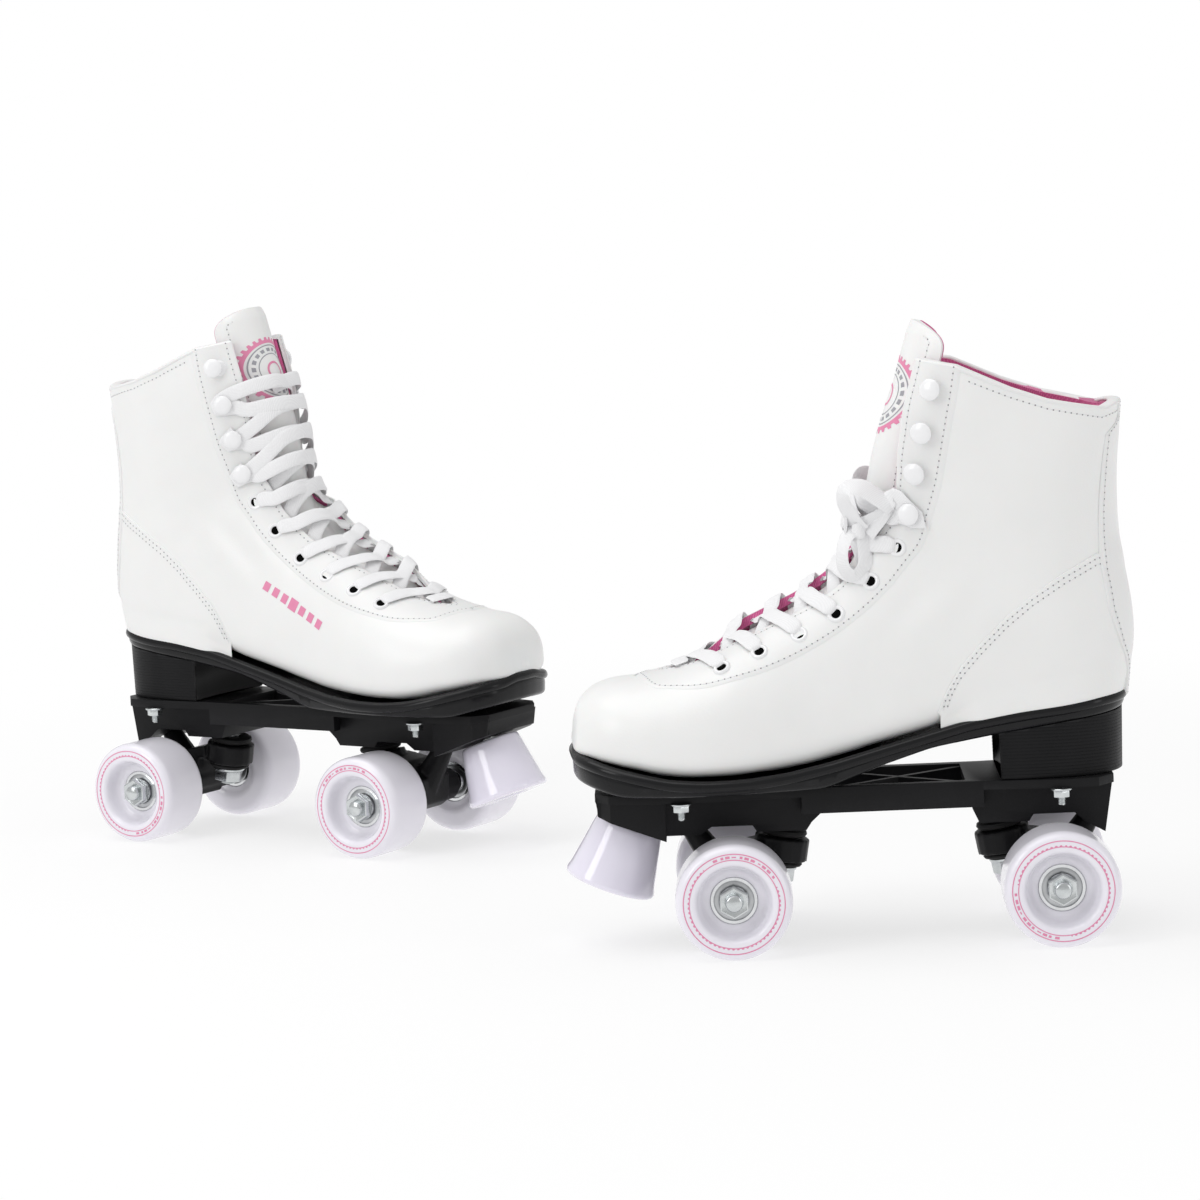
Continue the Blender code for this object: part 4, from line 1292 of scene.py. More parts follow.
def lace_mesh(last_hook, seed, to_knot=None):
    """The crossed laces up to a hook, and on to the knot where there is one."""
    rng = np.random.default_rng(seed)
    spots = EYELET_SPOTS + [(u, a) for u, a in HOOK_SPOTS[: last_hook + 1]]
    pieces = []
    u, a = spots[0]
    gap = float(angle_at(u, half_gap(u)))
    bar = [
        (u, -a * 0.93, -2.2), (u, -a * 0.86, 1.3), (u, -gap - 0.05, 2.1), (u - 0.05, -gap * 0.5, 2.5),
        (u - 0.08, 0, 2.7)
    ]
    bar += [(v, -b, lift) for v, b, lift in bar[-2::-1]]
    pieces.append(lace_points(bar, taper=(0.45, 0.45)))
    for i in range(len(spots) - 1):
        hooked = i + 1 >= len(EYELET_SPOTS)
        for side in (-1, 1):
            over = 1.0 if (side > 0) == (i % 2 == 0) else 0.0
            path = crossing(spots[i], spots[i + 1], side, over, rng)
            if i >= len(EYELET_SPOTS):
                # From one hook the lace crosses over the facing, not under it.
                (u0, a0) = spots[i]
                path[0] = (u0 - 0.1, -side * (a0 + 0.06), 2.2)
                path[1] = (u0 + 0.1, -side * a0 * 0.75, 2.6)
                path[2] = (u0 + (spots[i + 1][0] - u0) * 0.3, -side * a0 * 0.4, 2.6)
            if hooked:
                (u1, a1) = spots[i + 1]
                path[-2:] = [
                    (u1 - 0.12, side * (a1 + 0.02), 2.3), (u1 + 0.05, side * (a1 + 0.1), 2.3),
                    (u1 + 0.3, side * (a1 - 0.02), 2.4)
                ]
                if i + 1 == len(spots) - 1 and to_knot:
                    path += [
                        (u1 + 0.3, side * a1 * 0.6 + 0.4 * to_knot[1], 3.2),
                        (to_knot[0] + 0.1, to_knot[1] + side * 0.1, to_knot[2])
                    ]
                elif i + 1 == len(spots) - 1:
                    path += [
                        (u1 + 0.35, side * a1 * 0.7, 2.6), (u1 + 0.3, side * a1 * 0.2, 1.0 + over),
                        (u1 + 0.05, -side * a1 * 0.25, -2.2)
                    ]
            pieces.append(lace_points(path, taper=(1, 1) if hooked else (1, 0.42)))
    meshes = [grid_mesh(p, "strap", close_columns=True, caps=True, sharp=70) for p in pieces]
    return finished(joined(meshes, "laces"), 70)


# The pieces that both skates have alike: name to (mesh, material, slot, replaced nodes)
for_both = {}
facing_inner, facing_outer = facing_lines()
for_both["boot_skin"] = (boot_mesh(), WHITE_LEATHER, "boot_leather", ("upper",))
for_both["boot_facings"] = (
    overlay(facing_inner, facing_outer, FACING_LIFT, "facings"), STRIP_LEATHER, "boot_leather", ()
)
for_both["boot_counter"] = (counter_mesh(), WHITE_LEATHER, "boot_leather", ())
for_both["boot_back_strip"] = (strip_mesh(), STRIP_LEATHER, "boot_leather", ())
for_both["cuff_edge"] = (cuff_bead(), STRIP_LEATHER, "boot_leather", ())
for_both["tongue_front"] = (
    tongue_mesh(TONGUE_FRONT, TONGUE_MIDDLE, "tongue"), WHITE_LEATHER, "boot_leather", ("tongue",)
)
for_both["tongue_back"] = (
    tongue_mesh(TONGUE_MIDDLE - np.array((0.15, 0, 0)), TONGUE_BACK, "tongue_back"), PINK_LINING,
    "pink_lining", ()
)
tongue_tree = tree_of(for_both["tongue_front"][0])
threads, needle_holes = stitching(boot_seams() + [tongue_seam(tongue_tree)], "stitches")
for_both["stitches"] = (threads, THREAD, "white_lace", ())
# The needle-hole discs are painted shade.
for_both["needle_holes"] = (needle_holes, STITCH_SHADE_INK, "boot_leather", ())
for hand, side in (("inner", 1), ("outer", -1)):
    rings, shade_fills = eyelet_meshes(side)
    for_both[f"{hand}_eyelets"] = (rings, ENAMEL, "boot_leather", ())
    # The plugs in the eyelets' holes are painted shade.
    for_both[f"{hand}_eyelet_holes"] = (shade_fills, EYELET_SHADE_FILL, "boot_leather", ())
    for_both[f"{hand}_hooks"] = (hook_mesh(side), ENAMEL, "boot_leather", ())

BADGE_MIDDLE = (0.0, 252.0)


def on_tongue(a, b, lift):
    hit, normal, _, _ = tongue_tree.ray_cast(
        Vector((70, BADGE_MIDDLE[0] + a, BADGE_MIDDLE[1] + b * 0.95)), Vector((-1, 0, 0))
    )
    normal = normal if normal.x > 0 else -normal
    return tuple(hit + normal * lift)


pink_bands, grey_bands = badge_bands()
for_both["badge_pink"] = (printed(pink_bands, on_tongue, "badge_pink"), PINK_INK, "pink_lining", ())
for_both["badge_grey"] = (printed(grey_bands, on_tongue, "badge_grey"), GREY_INK, "pink_lining", ())

for name, (mesh, material, slot_name, replaced) in for_both.items():
    pieces_made = put_both(name, mesh, "skate", material, replaced)
for side in SIDES:
    lining = put(
        "boot_lining", lining_mesh(side == "right"), side, "skate", PINK_LINING, ("lining",)
    )

# ---------------------------------------------------------------- laces

KNOT_ROW, KNOT_ANGLE, KNOT_LIFT = 14.2, 0.42, 4.2


def free_lace(name, side, controls, up, width, body="skate"):
    """A free end or loop of lace along points in the skate's frame, flat against a turning direction."""
    line = smooth_path(controls, 90)
    ahead = np.gradient(line, axis=0)
    ups = smooth_path(up, 90)
    ups = ups - ahead * ((ups * ahead).sum(1) / (ahead * ahead).sum(1))[:, None]
    ups /= np.linalg.norm(ups, axis=1)[:, None]
    rings = ribbon_points(line, ups, width, LACE_THICK)
    mesh = finished(grid_mesh(rings, name, close_columns=True, caps=True, sharp=70), 70)
    obj = put(name, mesh, side, body, LACE_COTTON)
    return obj


put(
    "laces_crossed", lace_mesh(0, 4, to_knot=(KNOT_ROW, KNOT_ANGLE, KNOT_LIFT)), "right", "skate",
    LACE_COTTON, ("laces",)
)
put("laces_crossed", lace_mesh(2, 7), "left", "skate", LACE_COTTON, ("laces",))
KNOT = skin(KNOT_ROW, KNOT_ANGLE, KNOT_LIFT + 0.8)[0]


def knot_mesh():
    """The middle of the bow: a wrap of lace pulled tight round the two loops."""
    turns = np.linspace(-0.3, 2.15 * math.pi, 70)
    x, y, z = KNOT
    line = np.stack(
        [x + 3.3 * np.cos(turns) + 0.5 * turns, y + 4.2 * np.sin(turns), z - 1.2 + 0.55 * turns], 1
    )
    normals = np.stack([np.cos(turns), np.sin(turns), 0.15 + 0 * turns], 1)
    wrap = grid_mesh(
        ribbon_points(line, normals, 7.6, 1.5), "wrap", close_columns=True, caps=True, sharp=70
    )
    swell = [(3.4 * math.cos(a), 4.6 * math.sin(a)) for a in np.linspace(-1.4, 1.4, 9)]
    core = turned([(0, -4.6), *swell, (0, 4.6)], 20, "core", start=KNOT, axis=(0.3, 0.3, 1))
    return finished(joined([wrap, core], "knot"), 60)


def bow_loop(name, controls, middle, width):
    """A loop of the bow through places from the knot, its flat side turned away from its middle."""
    points = [Vector(KNOT) + Vector(p) for p in controls]
    centre = Vector(KNOT) + Vector(middle)
    ups = []
    for p in points:
        away = (p - centre) * Vector((1, 0, 1))
        ups.append(Vector((0.15, 0.72, 0.2)) + away.normalized() * 0.75)
    return free_lace(name, "right", points, ups, width)


put("lace_knot", knot_mesh(), "right", "skate", LACE_COTTON)
upper_loop = (
    (0, 1, 0), (4, 3, 7), (7, 4.5, 14), (6, 6, 19.5), (-1, 6.5, 20), (-10, 6, 14), (-16, 4.5, 9),
    (-9, 3, 5), (-1, 2, 1)
)
bow_loop("lace_upper_loop", upper_loop, (-4, 4, 11), 10.5)
lower_loop = (
    (0, 1, 0), (5.5, 3, -2), (8.5, 5, -9), (8, 6, -17), (3, 6.5, -21), (-1.5, 6, -16), (-2, 4, -8),
    (-1, 2, -1)
)
bow_loop("lace_lower_loop", lower_loop, (3, 4, -10), 8.4)


def lace_end(name, places):
    """A free end of the bow that lies along (row, angle, lift) places."""
    line, normals = skin(*np.array(places).T)
    controls = [Vector(KNOT) + Vector((1, 1, -1))] + [Vector(p) for p in line]
    return free_lace(name, "right", controls, [tuple(normals[0])] + [tuple(n) for n in normals], LACE_WIDTH)


lace_end(
    "lace_end_over",
    (
        (14.1, 0.2, 6.5), (13.95, -0.15, 6.5), (13.8, -0.5, 5.5), (13.6, -0.8, 4.5), (13.2, -1.05, 4),
        (12.8, -1.25, 3.5), (12.3, -1.4, 3)
    )
)
lace_end(
    "lace_end_near",
    (
        (14.0, 0.1, 5.8), (13.7, -0.25, 5.5), (13.3, -0.6, 5), (12.8, -0.9, 4.5), (12.2, -1.1, 4),
        (11.6, -1.25, 3.5), (11.0, -1.35, 3)
    )
)

# ---------------------------------------------------------------- side mark


def side_mark():
    """A row of slanted bars in place of a name, on the quarter below the facing."""
    meshes = []
    for k in range(7):
        s = (k + 0.5) / 7
        x, z = 1 + 43 * s, 140.5 - 21.5 * s
        wide, tall = (2.1, 2.4) if k != 3 else (2.9, 3.1)
        along, up = np.array((0.894, -0.447)), np.array((0.45, 0.894))
        points = []
        for b in np.linspace(-1, 1, 5):
            line = [np.array((x, z)) + along * wide * a + up * tall * b for a in np.linspace(-1, 1, 5)]
            points.append([at_surface(q[0], q[1], 1, 0.0) for q in line])
        points = np.array([[dressed(p, n) + n * 0.12 for p, n in row] for row in points])
        meshes.append(grid_mesh(points, "bar"))
    return joined(meshes, "mark")


mark = side_mark()
flipped = mark.copy()
flipped.transform(Matrix.Scale(-1, 4, Vector((0, 1, 0))))
flipped.flip_normals()
put("side_mark", mark, "left", "skate", PINK_INK)
put("side_mark", flipped, "right", "skate", PINK_INK)

# ---------------------------------------------------------------- sole and heel


def outward(line):
    """Directions that face out of a closed outline at each of its points."""
    ahead = np.roll(line, -1, axis=0) - np.roll(line, 1, axis=0)
    ahead /= np.linalg.norm(ahead, axis=1)[:, None]
    out = np.stack([ahead[:, 1], -ahead[:, 0]], 1)
    return out if ((line - line.mean(0)) * out).sum() > 0 else -out


def sole_mesh():
    """The outsole, with a round lip about its upper edge."""
    line = along_outline(SOLE_OUTLINE, 420)
    out = outward(line)
    top = np.array([float(sole_top(x)) for x in line[:, 0]]) - 1.0
    low_x, low_z = zip(*SOLE_UNDERSIDE)
    low = np.interp(line[:, 0], low_x, low_z)
    for _ in range(10):
        low = (np.roll(low, 1) + 2 * low + np.roll(low, -1)) / 4
        top = (np.roll(top, 1) + 2 * top + np.roll(top, -1)) / 4
    # Each step: distance out from the outline, and height between the underside and the top.
    steps = [
        (-14, 0, 0), (-4.5, 0, 0), (-2.6, 0, 0.25), (-1.5, 0, 1.1), (-0.9, 0, 2.4), (-0.7, 0.55, 0),
        (-0.75, 1, -4.3), (-0.9, 1, -3.6), (-0.2, 1, -3.3), (0.5, 1, -2.6), (0.85, 1, -1.5),
        (0.7, 1, -0.3), (0.15, 1, 0.7), (-0.8, 1, 1.4), (-1.9, 1, 1.8), (-3.2, 1, 1.7), (-4.6, 1, 0.6),
        (-14, 1, -0.6)
    ]
    rows = []
    for away, share, up in steps:
        z = low + (top - low) * share + up
        narrow = np.maximum(0.0, 4.2 - (top - low)) * (share > 0.9) * (up < -2)
        rows.append(np.column_stack([line + out * away, z + narrow]))
    mesh = grid_mesh(np.array(rows), "sole", close_columns=True, caps=False)
    bm = bmesh.new()
    bm.from_mesh(mesh)
    bpy.data.meshes.remove(mesh)
    bmesh.ops.holes_fill(bm, edges=[e for e in bm.edges if e.is_boundary])
    out_facing(bm)
    return mesh_from(bm, "sole", 60)


HEEL_OUTLINE = (
    (-62, 30.2), (-72, 29.8), (-82, 28.9), (-92, 26), (-100, 21), (-105.5, 14), (-108.6, 6), (-109.3, 0.8)
)


def heel_mesh():
    """The stacked heel: level lines pressed into its sides, and a hollow front face."""
    front_x, half = -49.5, 29.6
    right = [(x, w, 0.0) for x, w in HEEL_OUTLINE]
    side = smooth_path([(front_x, half, 0)] + right, 110)[:, :2]
    back = np.concatenate([side, side[::-1] * (1, -1)])
    front = [(front_x - 3.2 * (1 - (y / half) ** 2), y) for y in np.linspace(-half, half, 26)[1:-1]]
    line = np.concatenate([back, front])
    out = outward(line)
    is_front = np.concatenate([np.zeros(len(back)), np.ones(len(front))])
    low_x, low_z = zip(*SOLE_UNDERSIDE)
    top = np.interp(line[:, 0], low_x, low_z) + 0.3
    base, pitch = 74.4, 1.55
    rows = [np.column_stack([line - out * 0.9, np.full(len(line), base)])]
    level = base + 0.5
    levels = []
    while level < 104:
        levels += [
            (level, 0.0), (level + pitch * 0.66, 0.0), (level + pitch * 0.78, -0.12),
            (level + pitch * 0.9, -0.12)
        ]
        level += pitch
    for z, cut_in in levels:
        height = np.minimum(z, top)
        rise = (height - base) / 26
        share = np.clip((height - base) / np.maximum(top - base, 1), 0, 1)
        hollow = -3.0 * np.sin(share * math.pi) * is_front
        away = np.where(z < top, cut_in, 0.0) * (1 - is_front) + 0.55 * rise - 0.75 + hollow
        rows.append(np.column_stack([line + out * away[:, None], height]))
    mesh = grid_mesh(np.array(rows), "heel", close_columns=True, caps=True)
    return finished(mesh, 30)


# ---------------------------------------------------------------- copies of solids with their edges broken


def softened(side, node_name, width, name):
    """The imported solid's mesh with its edges broken, in place in the row frame."""
    bm = bmesh.new()
    bm.from_mesh(frame["nodes"][f"{side}_{node_name}"].data)
    bmesh.ops.remove_doubles(bm, verts=bm.verts, dist=2e-6)
    bmesh.ops.dissolve_limit(bm, angle_limit=math.radians(0.6), verts=bm.verts, edges=bm.edges)
    edges = [e for e in bm.edges if len(e.link_faces) == 2 and e.calc_face_angle(0) > math.radians(30)]
    bmesh.ops.bevel(
        bm, geom=edges, offset=width * MM, segments=2, profile=0.6, affect="EDGES", clamp_overlap=True
    )
    return mesh_from(bm, name, 35)


def cast_copy(side, node_name, name, voxel=0.8):
    """A solid rounded as a casting is: remeshed finely, then smoothed."""
    mesh = frame["nodes"][f"{side}_{node_name}"].data.copy()
    obj = bpy.data.objects.new("cast", mesh)
    bpy.context.scene.collection.objects.link(obj)
    remesh = obj.modifiers.new("remesh", "REMESH")
    remesh.mode = "VOXEL"
    remesh.voxel_size = voxel * MM
    smooth = obj.modifiers.new("smooth", "SMOOTH")
    smooth.factor = 0.5
    smooth.iterations = 7
    bpy.context.view_layer.update()
    result = bpy.data.meshes.new_from_object(obj.evaluated_get(bpy.context.evaluated_depsgraph_get()))
    result.name = name
    bpy.data.objects.remove(obj)
    result.shade_smooth()
    return result


for side in SIDES:
    place_mesh(
        "sole_plate", softened(side, "plate", 0.5, "plate"), side, "skate", NYLON, ("plate",)
    )
    for end in ("front", "rear"):
        casting = cast_copy(side, f"{end}_hanger", "hanger")
        place_mesh(
            f"{end}_truck_casting", casting, side, f"{end}_truck", NYLON, (f"{end}_hanger",)
        )
    insole_node = frame["nodes"][f"{side}_insole"]
    insole_node.data.materials.clear()
    insole_node.data.materials.append(PINK_LINING)
put_both("rubber_sole", sole_mesh(), "skate", SOLE_RUBBER, ("outsole",))
put_both("stacked_heel", heel_mesh(), "skate", HEEL_RUBBER, ("heel_block",))

# ---------------------------------------------------------------- trucks, bolts and stop

AXLE_X, AXLE_Z = 75, 27
WHEEL_Y = 44
RING_X, RING_Z = 52, 42
RING_HEIGHT = 11.0
LEAN = math.radians(10)
FLANGE_UNDERSIDE = 70.0


def kingpin_axis(end):
    """The direction of a kingpin, which leans towards the skate's middle."""
    return Vector((-end * math.sin(LEAN), 0, math.cos(LEAN)))


def cushion_meshes(end):
    """The elastic cushion above the hanger's ring with the neck inside it, and the flat one below."""
    half = RING_HEIGHT / 2 + 0.3
    start, axis = (end * RING_X, 0, RING_Z), kingpin_axis(end)
    upper = [
        (5, half), (9.2, half), (10.7, half + 0.7), (11.3, half + 1.9), (10.9, half + 3.1),
        (9.6, half + 3.7), (5, half + 3.7)
    ]
    lower = [
        (5, -half), (9.4, -half), (10.6, -half - 0.4), (10.9, -half - 1.1), (10.4, -half - 1.9),
        (9.4, -half - 2.2), (5, -half - 2.2)
    ]
    neck = turned(((5, half), (6.6, half), (6.6, -half), (5, -half)), 32, "neck", start=start, axis=axis)
    above = joined([turned(upper, 48, "upper", start=start, axis=axis), neck], "upper")
    return above, turned(lower, 48, "lower", start=start, axis=axis)


def put_elastic(name, mesh, side, replaces=()):
    """A cushion put on the skate, then freed from the skate's body with its place baked into its mesh."""
    obj = put(name, mesh, side, "skate", CUSHION, replaces, keep=True)
    obj.parent = None
    obj.matrix_world = Matrix.Identity(4)
    del obj["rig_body"]
    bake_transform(obj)


def threaded_end(radius, low, high, start, axis, pitch=1.0):
    """A threaded end, its grooves as rings."""
    profile = [(0, low), (radius - 0.35, low)]
    z = low
    while z + pitch < high - 0.4:
        profile += [
            (radius - 0.35, z + 0.1 * pitch), (radius, z + 0.45 * pitch), (radius, z + 0.6 * pitch),
            (radius - 0.35, z + 0.95 * pitch)
        ]
        z += pitch
    profile += [(radius - 0.3, high - 0.5), (radius - 0.9, high), (0, high)]
    return turned(profile, 24, "thread", sharp=50, start=start, axis=axis)


def kingpin_meshes(end):
    """The kingpin with its washer, its nut and its threaded end."""
    start, axis = (end * RING_X, 0, RING_Z), kingpin_axis(end)
    top = -(RING_HEIGHT / 2 + 0.6 + 2.2)
    washer = ((3, top), (8.2, top), (8.6, top - 0.3), (8.6, top - 1.1), (8.3, top - 1.4), (3, top - 1.4))
    parts = [turned(washer, 40, "washer", start=start, axis=axis)]
    parts.append(hexagon(13.6, top - 7.6, top - 1.5, 4.4, "nut", start=start, axis=axis))
    parts.append(threaded_end(4.4, top - 9.2, top - 4, start=start, axis=axis))
    parts.append(turned(((0, top), (4.5, top), (4.5, 16), (0, 16)), 24, "pin", start=start, axis=axis))
    return joined(parts, "kingpin")


def axle_meshes(end):
    """The axle: a shaft with its threaded ends."""
    start = (end * AXLE_X, 0, AXLE_Z)
    parts = [
        threaded_end(3.85, 50.6, 59.6, pitch=1.05, start=start, axis=(0, out, 0)) for out in (-1, 1)
    ]
    shaft = ((0, -52), (3.85, -52), (3.85, 52), (0, 52))
    parts.append(turned(shaft, 24, "shaft", start=start, axis=(0, 1, 0)))
    return joined(parts, "axle")


def nut_meshes(end, out):
    """An axle's nut and the washer behind it."""
    start, axis = (end * AXLE_X, 0, AXLE_Z), (0, out, 0)
    nut = hexagon(13, 52.1, 57.3, 4.0, "nut", start=start, axis=axis)
    washer = turned(
        ((4.1, 51.25), (6.6, 51.25), (6.75, 51.4), (6.75, 51.95), (6.6, 52.1), (4.1, 52.1)), 36, "washer",
        start=start, axis=axis
    )
    return joined([nut, washer], "nut")


def wheel_face(radius):
    """The height of the outer face at a radius."""
    return 16.0 - 0.02 * max(radius - 19, 0) ** 1.3


def wheel_mesh(end, out):
    """A wheel, dished on its outer face."""
    profile = [
        (11.05, 6.8), (11.9, 7.25), (12.8, 7.2), (14.2, 7.7), (15.5, 9.2), (16.4, 11.4), (17.0, 13.6),
        (17.6, 15.0), (18.5, 15.8), (19.4, 16.0)
    ]
    profile += [(r, wheel_face(r)) for r in (20.4, 21.6, 22.8, 23.8)]
    profile += [
        (24.7, 15.45), (25.5, 14.8), (26.2, 13.8), (26.7, 12.6), (26.95, 11.2), (27, 9.8), (27, 0),
        (27, -9.8), (26.95, -11.2)
    ]
    profile += [
        (26.7, -12.6), (26.2, -13.8), (25.4, -14.8), (24.4, -15.5), (23, -15.9), (18, -16), (15.8, -15.7),
        (14.4, -14.6), (12.4, -13.7), (11.05, -13.4)
    ]
    centre = (end * AXLE_X, out * WHEEL_Y, AXLE_Z)
    return turned(profile, 112, "wheel", sharp=40, start=centre, axis=(0, out, 0))


def flat_band(inner, outer, height, first=0.0, last=2 * math.pi, steps=96):
    """A band of print on a level face, as a grid of points."""
    low, high = band(inner, outer, first, last, steps)
    return grid_mesh(
        np.array([[(a, b, height(math.hypot(a, b))) for a, b in line] for line in (low, high)]), "band"
    )


def wheel_print(end, out, turn):
    """The printed ring: an outer line, a partly toothed inner line, and short bars between them."""

    def face(radius):
        return wheel_face(radius) + 0.06

    def toothed(a):
        return 20.75 + (0.55 if math.sin(a * 60) > 0 else 0.0) * (1.0 if 0.35 < a < 4.75 else 0.0)

    parts = [flat_band(23.0, 23.5, face, steps=128), flat_band(20.3, toothed, face, steps=480)]
    for k in range(11):
        first = 4.93 + k * 0.135
        low, high = (21.25, 22.4) if k % 4 != 3 else (21.55, 22.1)
        parts.append(flat_band(low, high, face, first, first + (0.095 if k % 3 else 0.06), 3))
    mesh = joined(parts, "print")
    place = Matrix.Translation((end * AXLE_X, out * WHEEL_Y, AXLE_Z))
    outward_turn = Vector((0, out, 0)).to_track_quat("Z", "Y").to_matrix().to_4x4()
    mesh.transform(place @ outward_turn @ Matrix.Rotation(turn, 4, "Z"))
    return mesh


# The bearing's parts as (radius, depth below its face)
OUTER_RACE = ((9.3, 0.5), (9.4, 0.05), (10.7, 0.05), (10.98, 0.35))
INNER_RACE = ((4.1, 0.3), (4.4, 0), (5.7, 0), (5.95, 0.3))
SHIELD = ((5.95, 0.75), (7, 0.55), (8.7, 0.55), (9.3, 0.8), (9.3, 1.2), (5.95, 1.2))


def bearing_meshes(end, out):
    """(rings, shields) of the two ball bearings, with the spacer between them."""
    rings, shields = [], []
    start, axis = (end * AXLE_X, out * WHEEL_Y, AXLE_Z), (0, out, 0)
    for face, away in ((7.0, 1), (-13.0, -1)):
        back = face - 7 * away
        outer, inner, shield = (
            [(radius, face - depth * away) for radius, depth in profile]
            for profile in (OUTER_RACE, INNER_RACE, SHIELD)
        )
        rings.append(turned(outer + [(10.98, back), (9.3, back)], 56, "outer", start=start, axis=axis))
        rings.append(turned(inner + [(5.95, back), (4.1, back)], 40, "inner", start=start, axis=axis))
        shields.append(turned(shield, 48, "shield", start=start, axis=axis))
    rings.append(turned(((4.1, -6), (5.8, -6), (5.8, 0), (4.1, 0)), 24, "spacer", start=start, axis=axis))
    return joined(rings, "rings"), joined(shields, "shields")


def stop_meshes():
    """(rubber, bolt) of the toe stop."""
    lean = math.radians(21)
    start, axis = (122, 0, 56.6), (math.sin(lean), 0, -math.cos(lean))
    rubber = [
        (4.8, 0.3), (14.2, 0.3), (15.3, 0.7), (15.8, 1.6), (16.4, 4), (18.4, 15), (20.4, 25.5),
        (21.3, 28.4), (21.55, 29.6), (21.2, 30.6), (20.3, 31.2), (19, 31.3), (10.4, 31.3), (9.4, 31.0),
        (9, 30.3), (9, 23.6), (4.8, 23.6)
    ]
    stop = turned(rubber, 96, "stop", sharp=50, start=start, axis=axis)
    washer = ((0, 23.6), (7.4, 23.6), (7.6, 23.9), (7.6, 24.7), (7.3, 25), (0, 25))
    bolt = [turned(washer, 40, "washer", start=start, axis=axis)]
    bolt.append(hexagon(12, 25.05, 30.2, 0, "head", start=start, axis=axis))
    bolt.append(turned(((0, -9), (4, -9), (4, 23.6), (0, 23.6)), 24, "shank", start=start, axis=axis))
    return stop, joined(bolt, "bolt")


def mounting_bolts():
    """The nuts and studs that hold the plate to the boot, under its flange."""
    washer = ((1.5, 0), (4.9, 0), (5.1, 0.25), (5.1, 0.75), (4.9, 1.0), (1.5, 1.0))
    parts = []
    for x in (97.6, -77.4):
        for y in (-27.5, 27.5):
            start, axis = (x, y * 1.16, FLANGE_UNDERSIDE), (0, 0, -1)
            parts.append(turned(washer, 32, "washer", start=start, axis=axis))
            parts.append(hexagon(7, 1.0, 4.2, 2.1, "nut", start=start, axis=axis, chamfer=0.4))
            parts.append(threaded_end(2.0, 1, 8.2, pitch=0.7, start=start, axis=axis))
    return joined(parts, "bolts")


stop, stop_bolt = stop_meshes()
put_both("brake_stop", stop, "skate", STOP_CAST, ("toe_stop",))
put_both("brake_stop_bolt", stop_bolt, "skate", ZINC, ("toe_stop_bolt",))
put_both("mounting_bolts", mounting_bolts(), "skate", ZINC)
print_turn = 0.6
for end_name, end in (("front", 1), ("rear", -1)):
    upper_cushion, lower_cushion = cushion_meshes(end)
    for side in SIDES:
        put_elastic(
            f"{end_name}_upper_cushion", upper_cushion, side,
            (f"{end_name}_cushions",)
        )
        put_elastic(
            f"{end_name}_lower_cushion", lower_cushion, side
        )
    put_both(
        f"{end_name}_kingpin_and_nut", kingpin_meshes(end), "skate", ZINC,
        (f"{end_name}_kingpin",)
    )
    put_both(
        f"{end_name}_threaded_axle", axle_meshes(end), f"{end_name}_truck", ZINC,
        (f"{end_name}_axle",)
    )
    for hand, out in (("inner", 1), ("outer", -1)):
        spot = f"{end_name}_{hand}"
        print_turn += 1.3
        rings, shields = bearing_meshes(end, out)
        put_both(
            f"{spot}_axle_nut", nut_meshes(end, out), f"{end_name}_truck", ZINC,
            (f"{spot}_nut",)
        )
        put_both(
            f"{spot}_tyre", wheel_mesh(end, out), f"{spot}_wheel_set", WHEEL_CAST,
            (f"{spot}_wheel",)
        )
        put_both(
            f"{spot}_print", wheel_print(end, out, print_turn), f"{spot}_wheel_set", PINK_INK
        )
        put_both(
            f"{spot}_bearing_rings", rings, f"{spot}_wheel_set", BEARING,
            (f"{spot}_bearings",)
        )
        put_both(f"{spot}_bearing_shields", shields, f"{spot}_wheel_set", DARK_SHIELD)

# ---------------------------------------------------------------- camera

scene = bpy.context.scene
camera = bpy.data.objects.new("camera", bpy.data.cameras.new("camera"))
scene.collection.objects.link(camera)
scene.camera = camera
camera.data.lens = 134
camera.data.sensor_width = 36
camera.data.clip_end = 100
CAMERA_PLACE = Vector((0.078, -2.25, 0.42))
CAMERA_AIM = Vector((0.0165, 0.0, 0.1385))
camera.location = CAMERA_PLACE
look = (CAMERA_AIM - CAMERA_PLACE).to_track_quat("-Z", "Y").to_matrix().to_4x4()
camera.matrix_world = Matrix.Translation(CAMERA_PLACE) @ look @ Matrix.Rotation(math.radians(-2.6), 4, "Z")

# ---------------------------------------------------------------- studio

scene.view_settings.view_transform = "Standard"


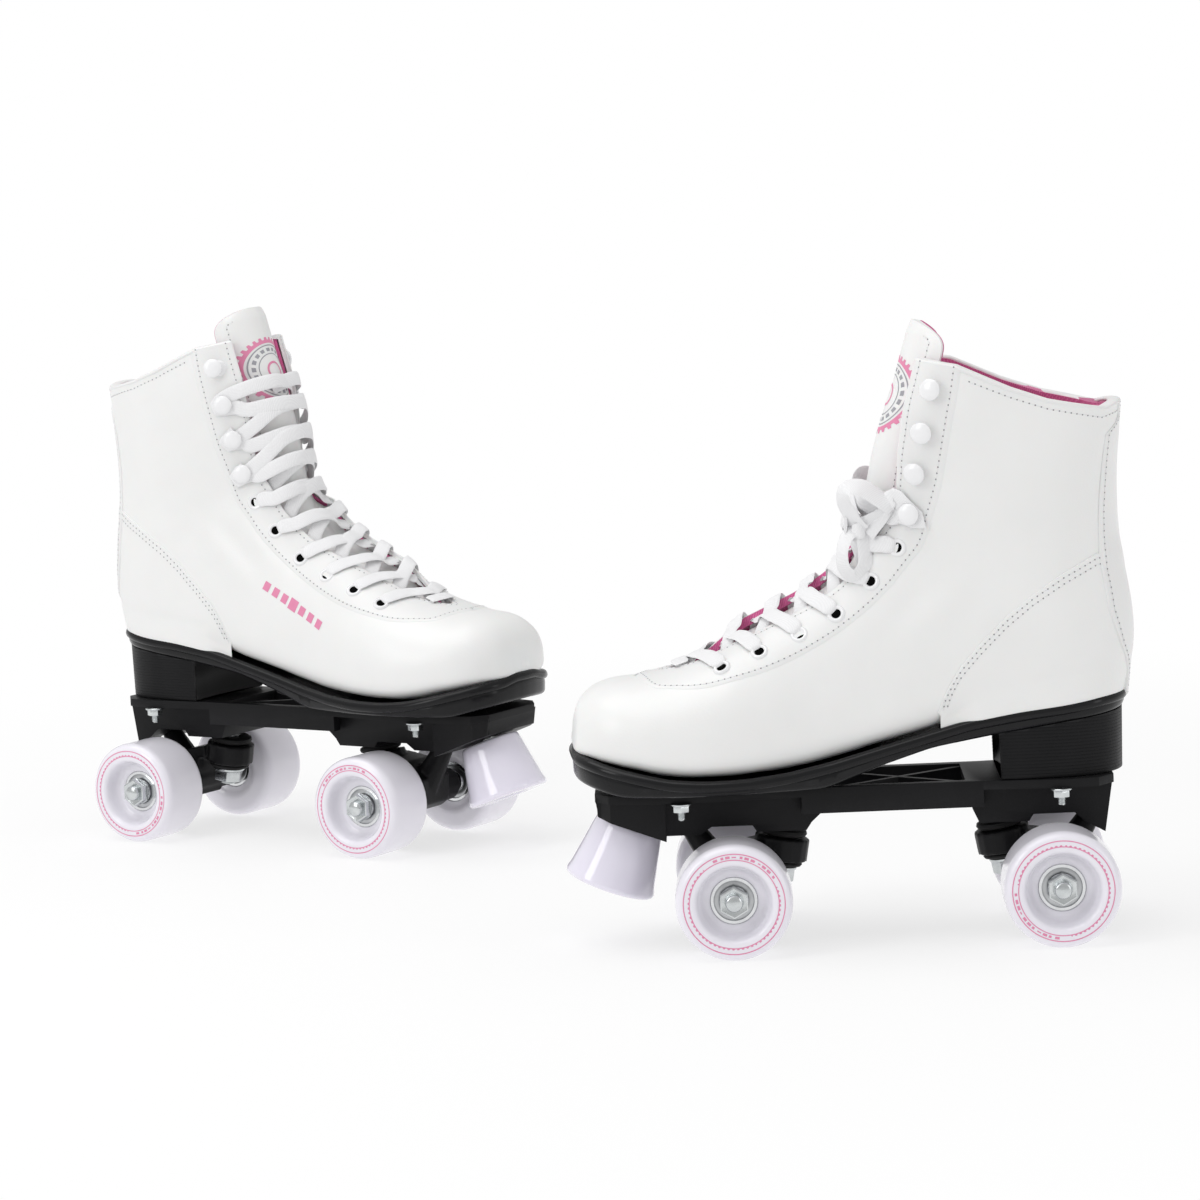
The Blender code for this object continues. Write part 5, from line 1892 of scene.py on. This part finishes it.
def studio_floor():
    """A pale floor that turns evenly white away from the skates, as a sweep of paper does."""
    mesh = bpy.data.meshes.new("floor")
    mesh.from_pydata([(-9, -6, 0), (9, -6, 0), (9, 9, 0), (-9, 9, 0)], [], [(0, 1, 2, 3)])
    floor = bpy.data.objects.new("floor", mesh)
    scene.collection.objects.link(floor)
    material, tree, shader = new_material("floor_white")
    set_plain(shader, Roughness=0.6, Specular_IOR_Level=0.2)
    shader.inputs["Base Color"].default_value = (0.95, 0.95, 0.95, 1)
    length = node(tree, "ShaderNodeVectorMath", operation="LENGTH")
    tree.links.new(object_place(tree), length.inputs[0])
    fade = node(tree, "ShaderNodeMapRange", interpolation_type="SMOOTHSTEP")
    fade.inputs["From Min"].default_value = 0.3
    fade.inputs["From Max"].default_value = 0.85
    fade.inputs["To Min"].default_value = 0.68
    tree.links.new(length.outputs["Value"], fade.inputs["Value"])
    glow = node(tree, "ShaderNodeEmission", Strength=1.0)
    mix = node(tree, "ShaderNodeMixShader")
    tree.links.new(fade.outputs["Result"], mix.inputs[0])
    tree.links.new(shader.outputs["BSDF"], mix.inputs[1])
    tree.links.new(glow.outputs["Emission"], mix.inputs[2])
    tree.links.new(mix.outputs["Shader"], tree.nodes["Material Output"].inputs["Surface"])
    mesh.materials.append(material)
    return floor


def softbox(name, place, aim, wide, tall, watts):
    """A large soft light."""
    light = bpy.data.objects.new(name, bpy.data.lights.new(name, "AREA"))
    light.data.shape = "RECTANGLE"
    light.data.size, light.data.size_y = wide, tall
    light.data.energy = watts
    place = Vector(place)
    facing = (Vector(aim) - place).to_track_quat("-Z", "Y").to_matrix().to_4x4()
    light.matrix_world = Matrix.Translation(place) @ facing
    scene.collection.objects.link(light)
    return light


studio_floor()
world = bpy.data.worlds.new("studio")
scene.world = world
world.use_nodes = True
sky = world.node_tree
sky.nodes["Background"].inputs["Color"].default_value = (1, 1, 1, 1)
rays = sky.nodes.new("ShaderNodeLightPath")
level = sky.nodes.new("ShaderNodeMapRange")
level.inputs["To Min"].default_value = 0.6
level.inputs["To Max"].default_value = 1.0
sky.links.new(rays.outputs["Is Camera Ray"], level.inputs["Value"])
sky.links.new(level.outputs["Result"], sky.nodes["Background"].inputs["Strength"])
softbox("overhead", (-0.5, -0.1, 1.9), (0, 0, 0.1), 2.0, 1.4, 17)
softbox("left_front", (-1.7, -1.3, 1.2), (0, 0, 0.15), 0.8, 1.2, 11)
softbox("right_front", (1.7, -1.1, 0.6), (0.1, -0.1, 0.12), 0.4, 1.0, 3)
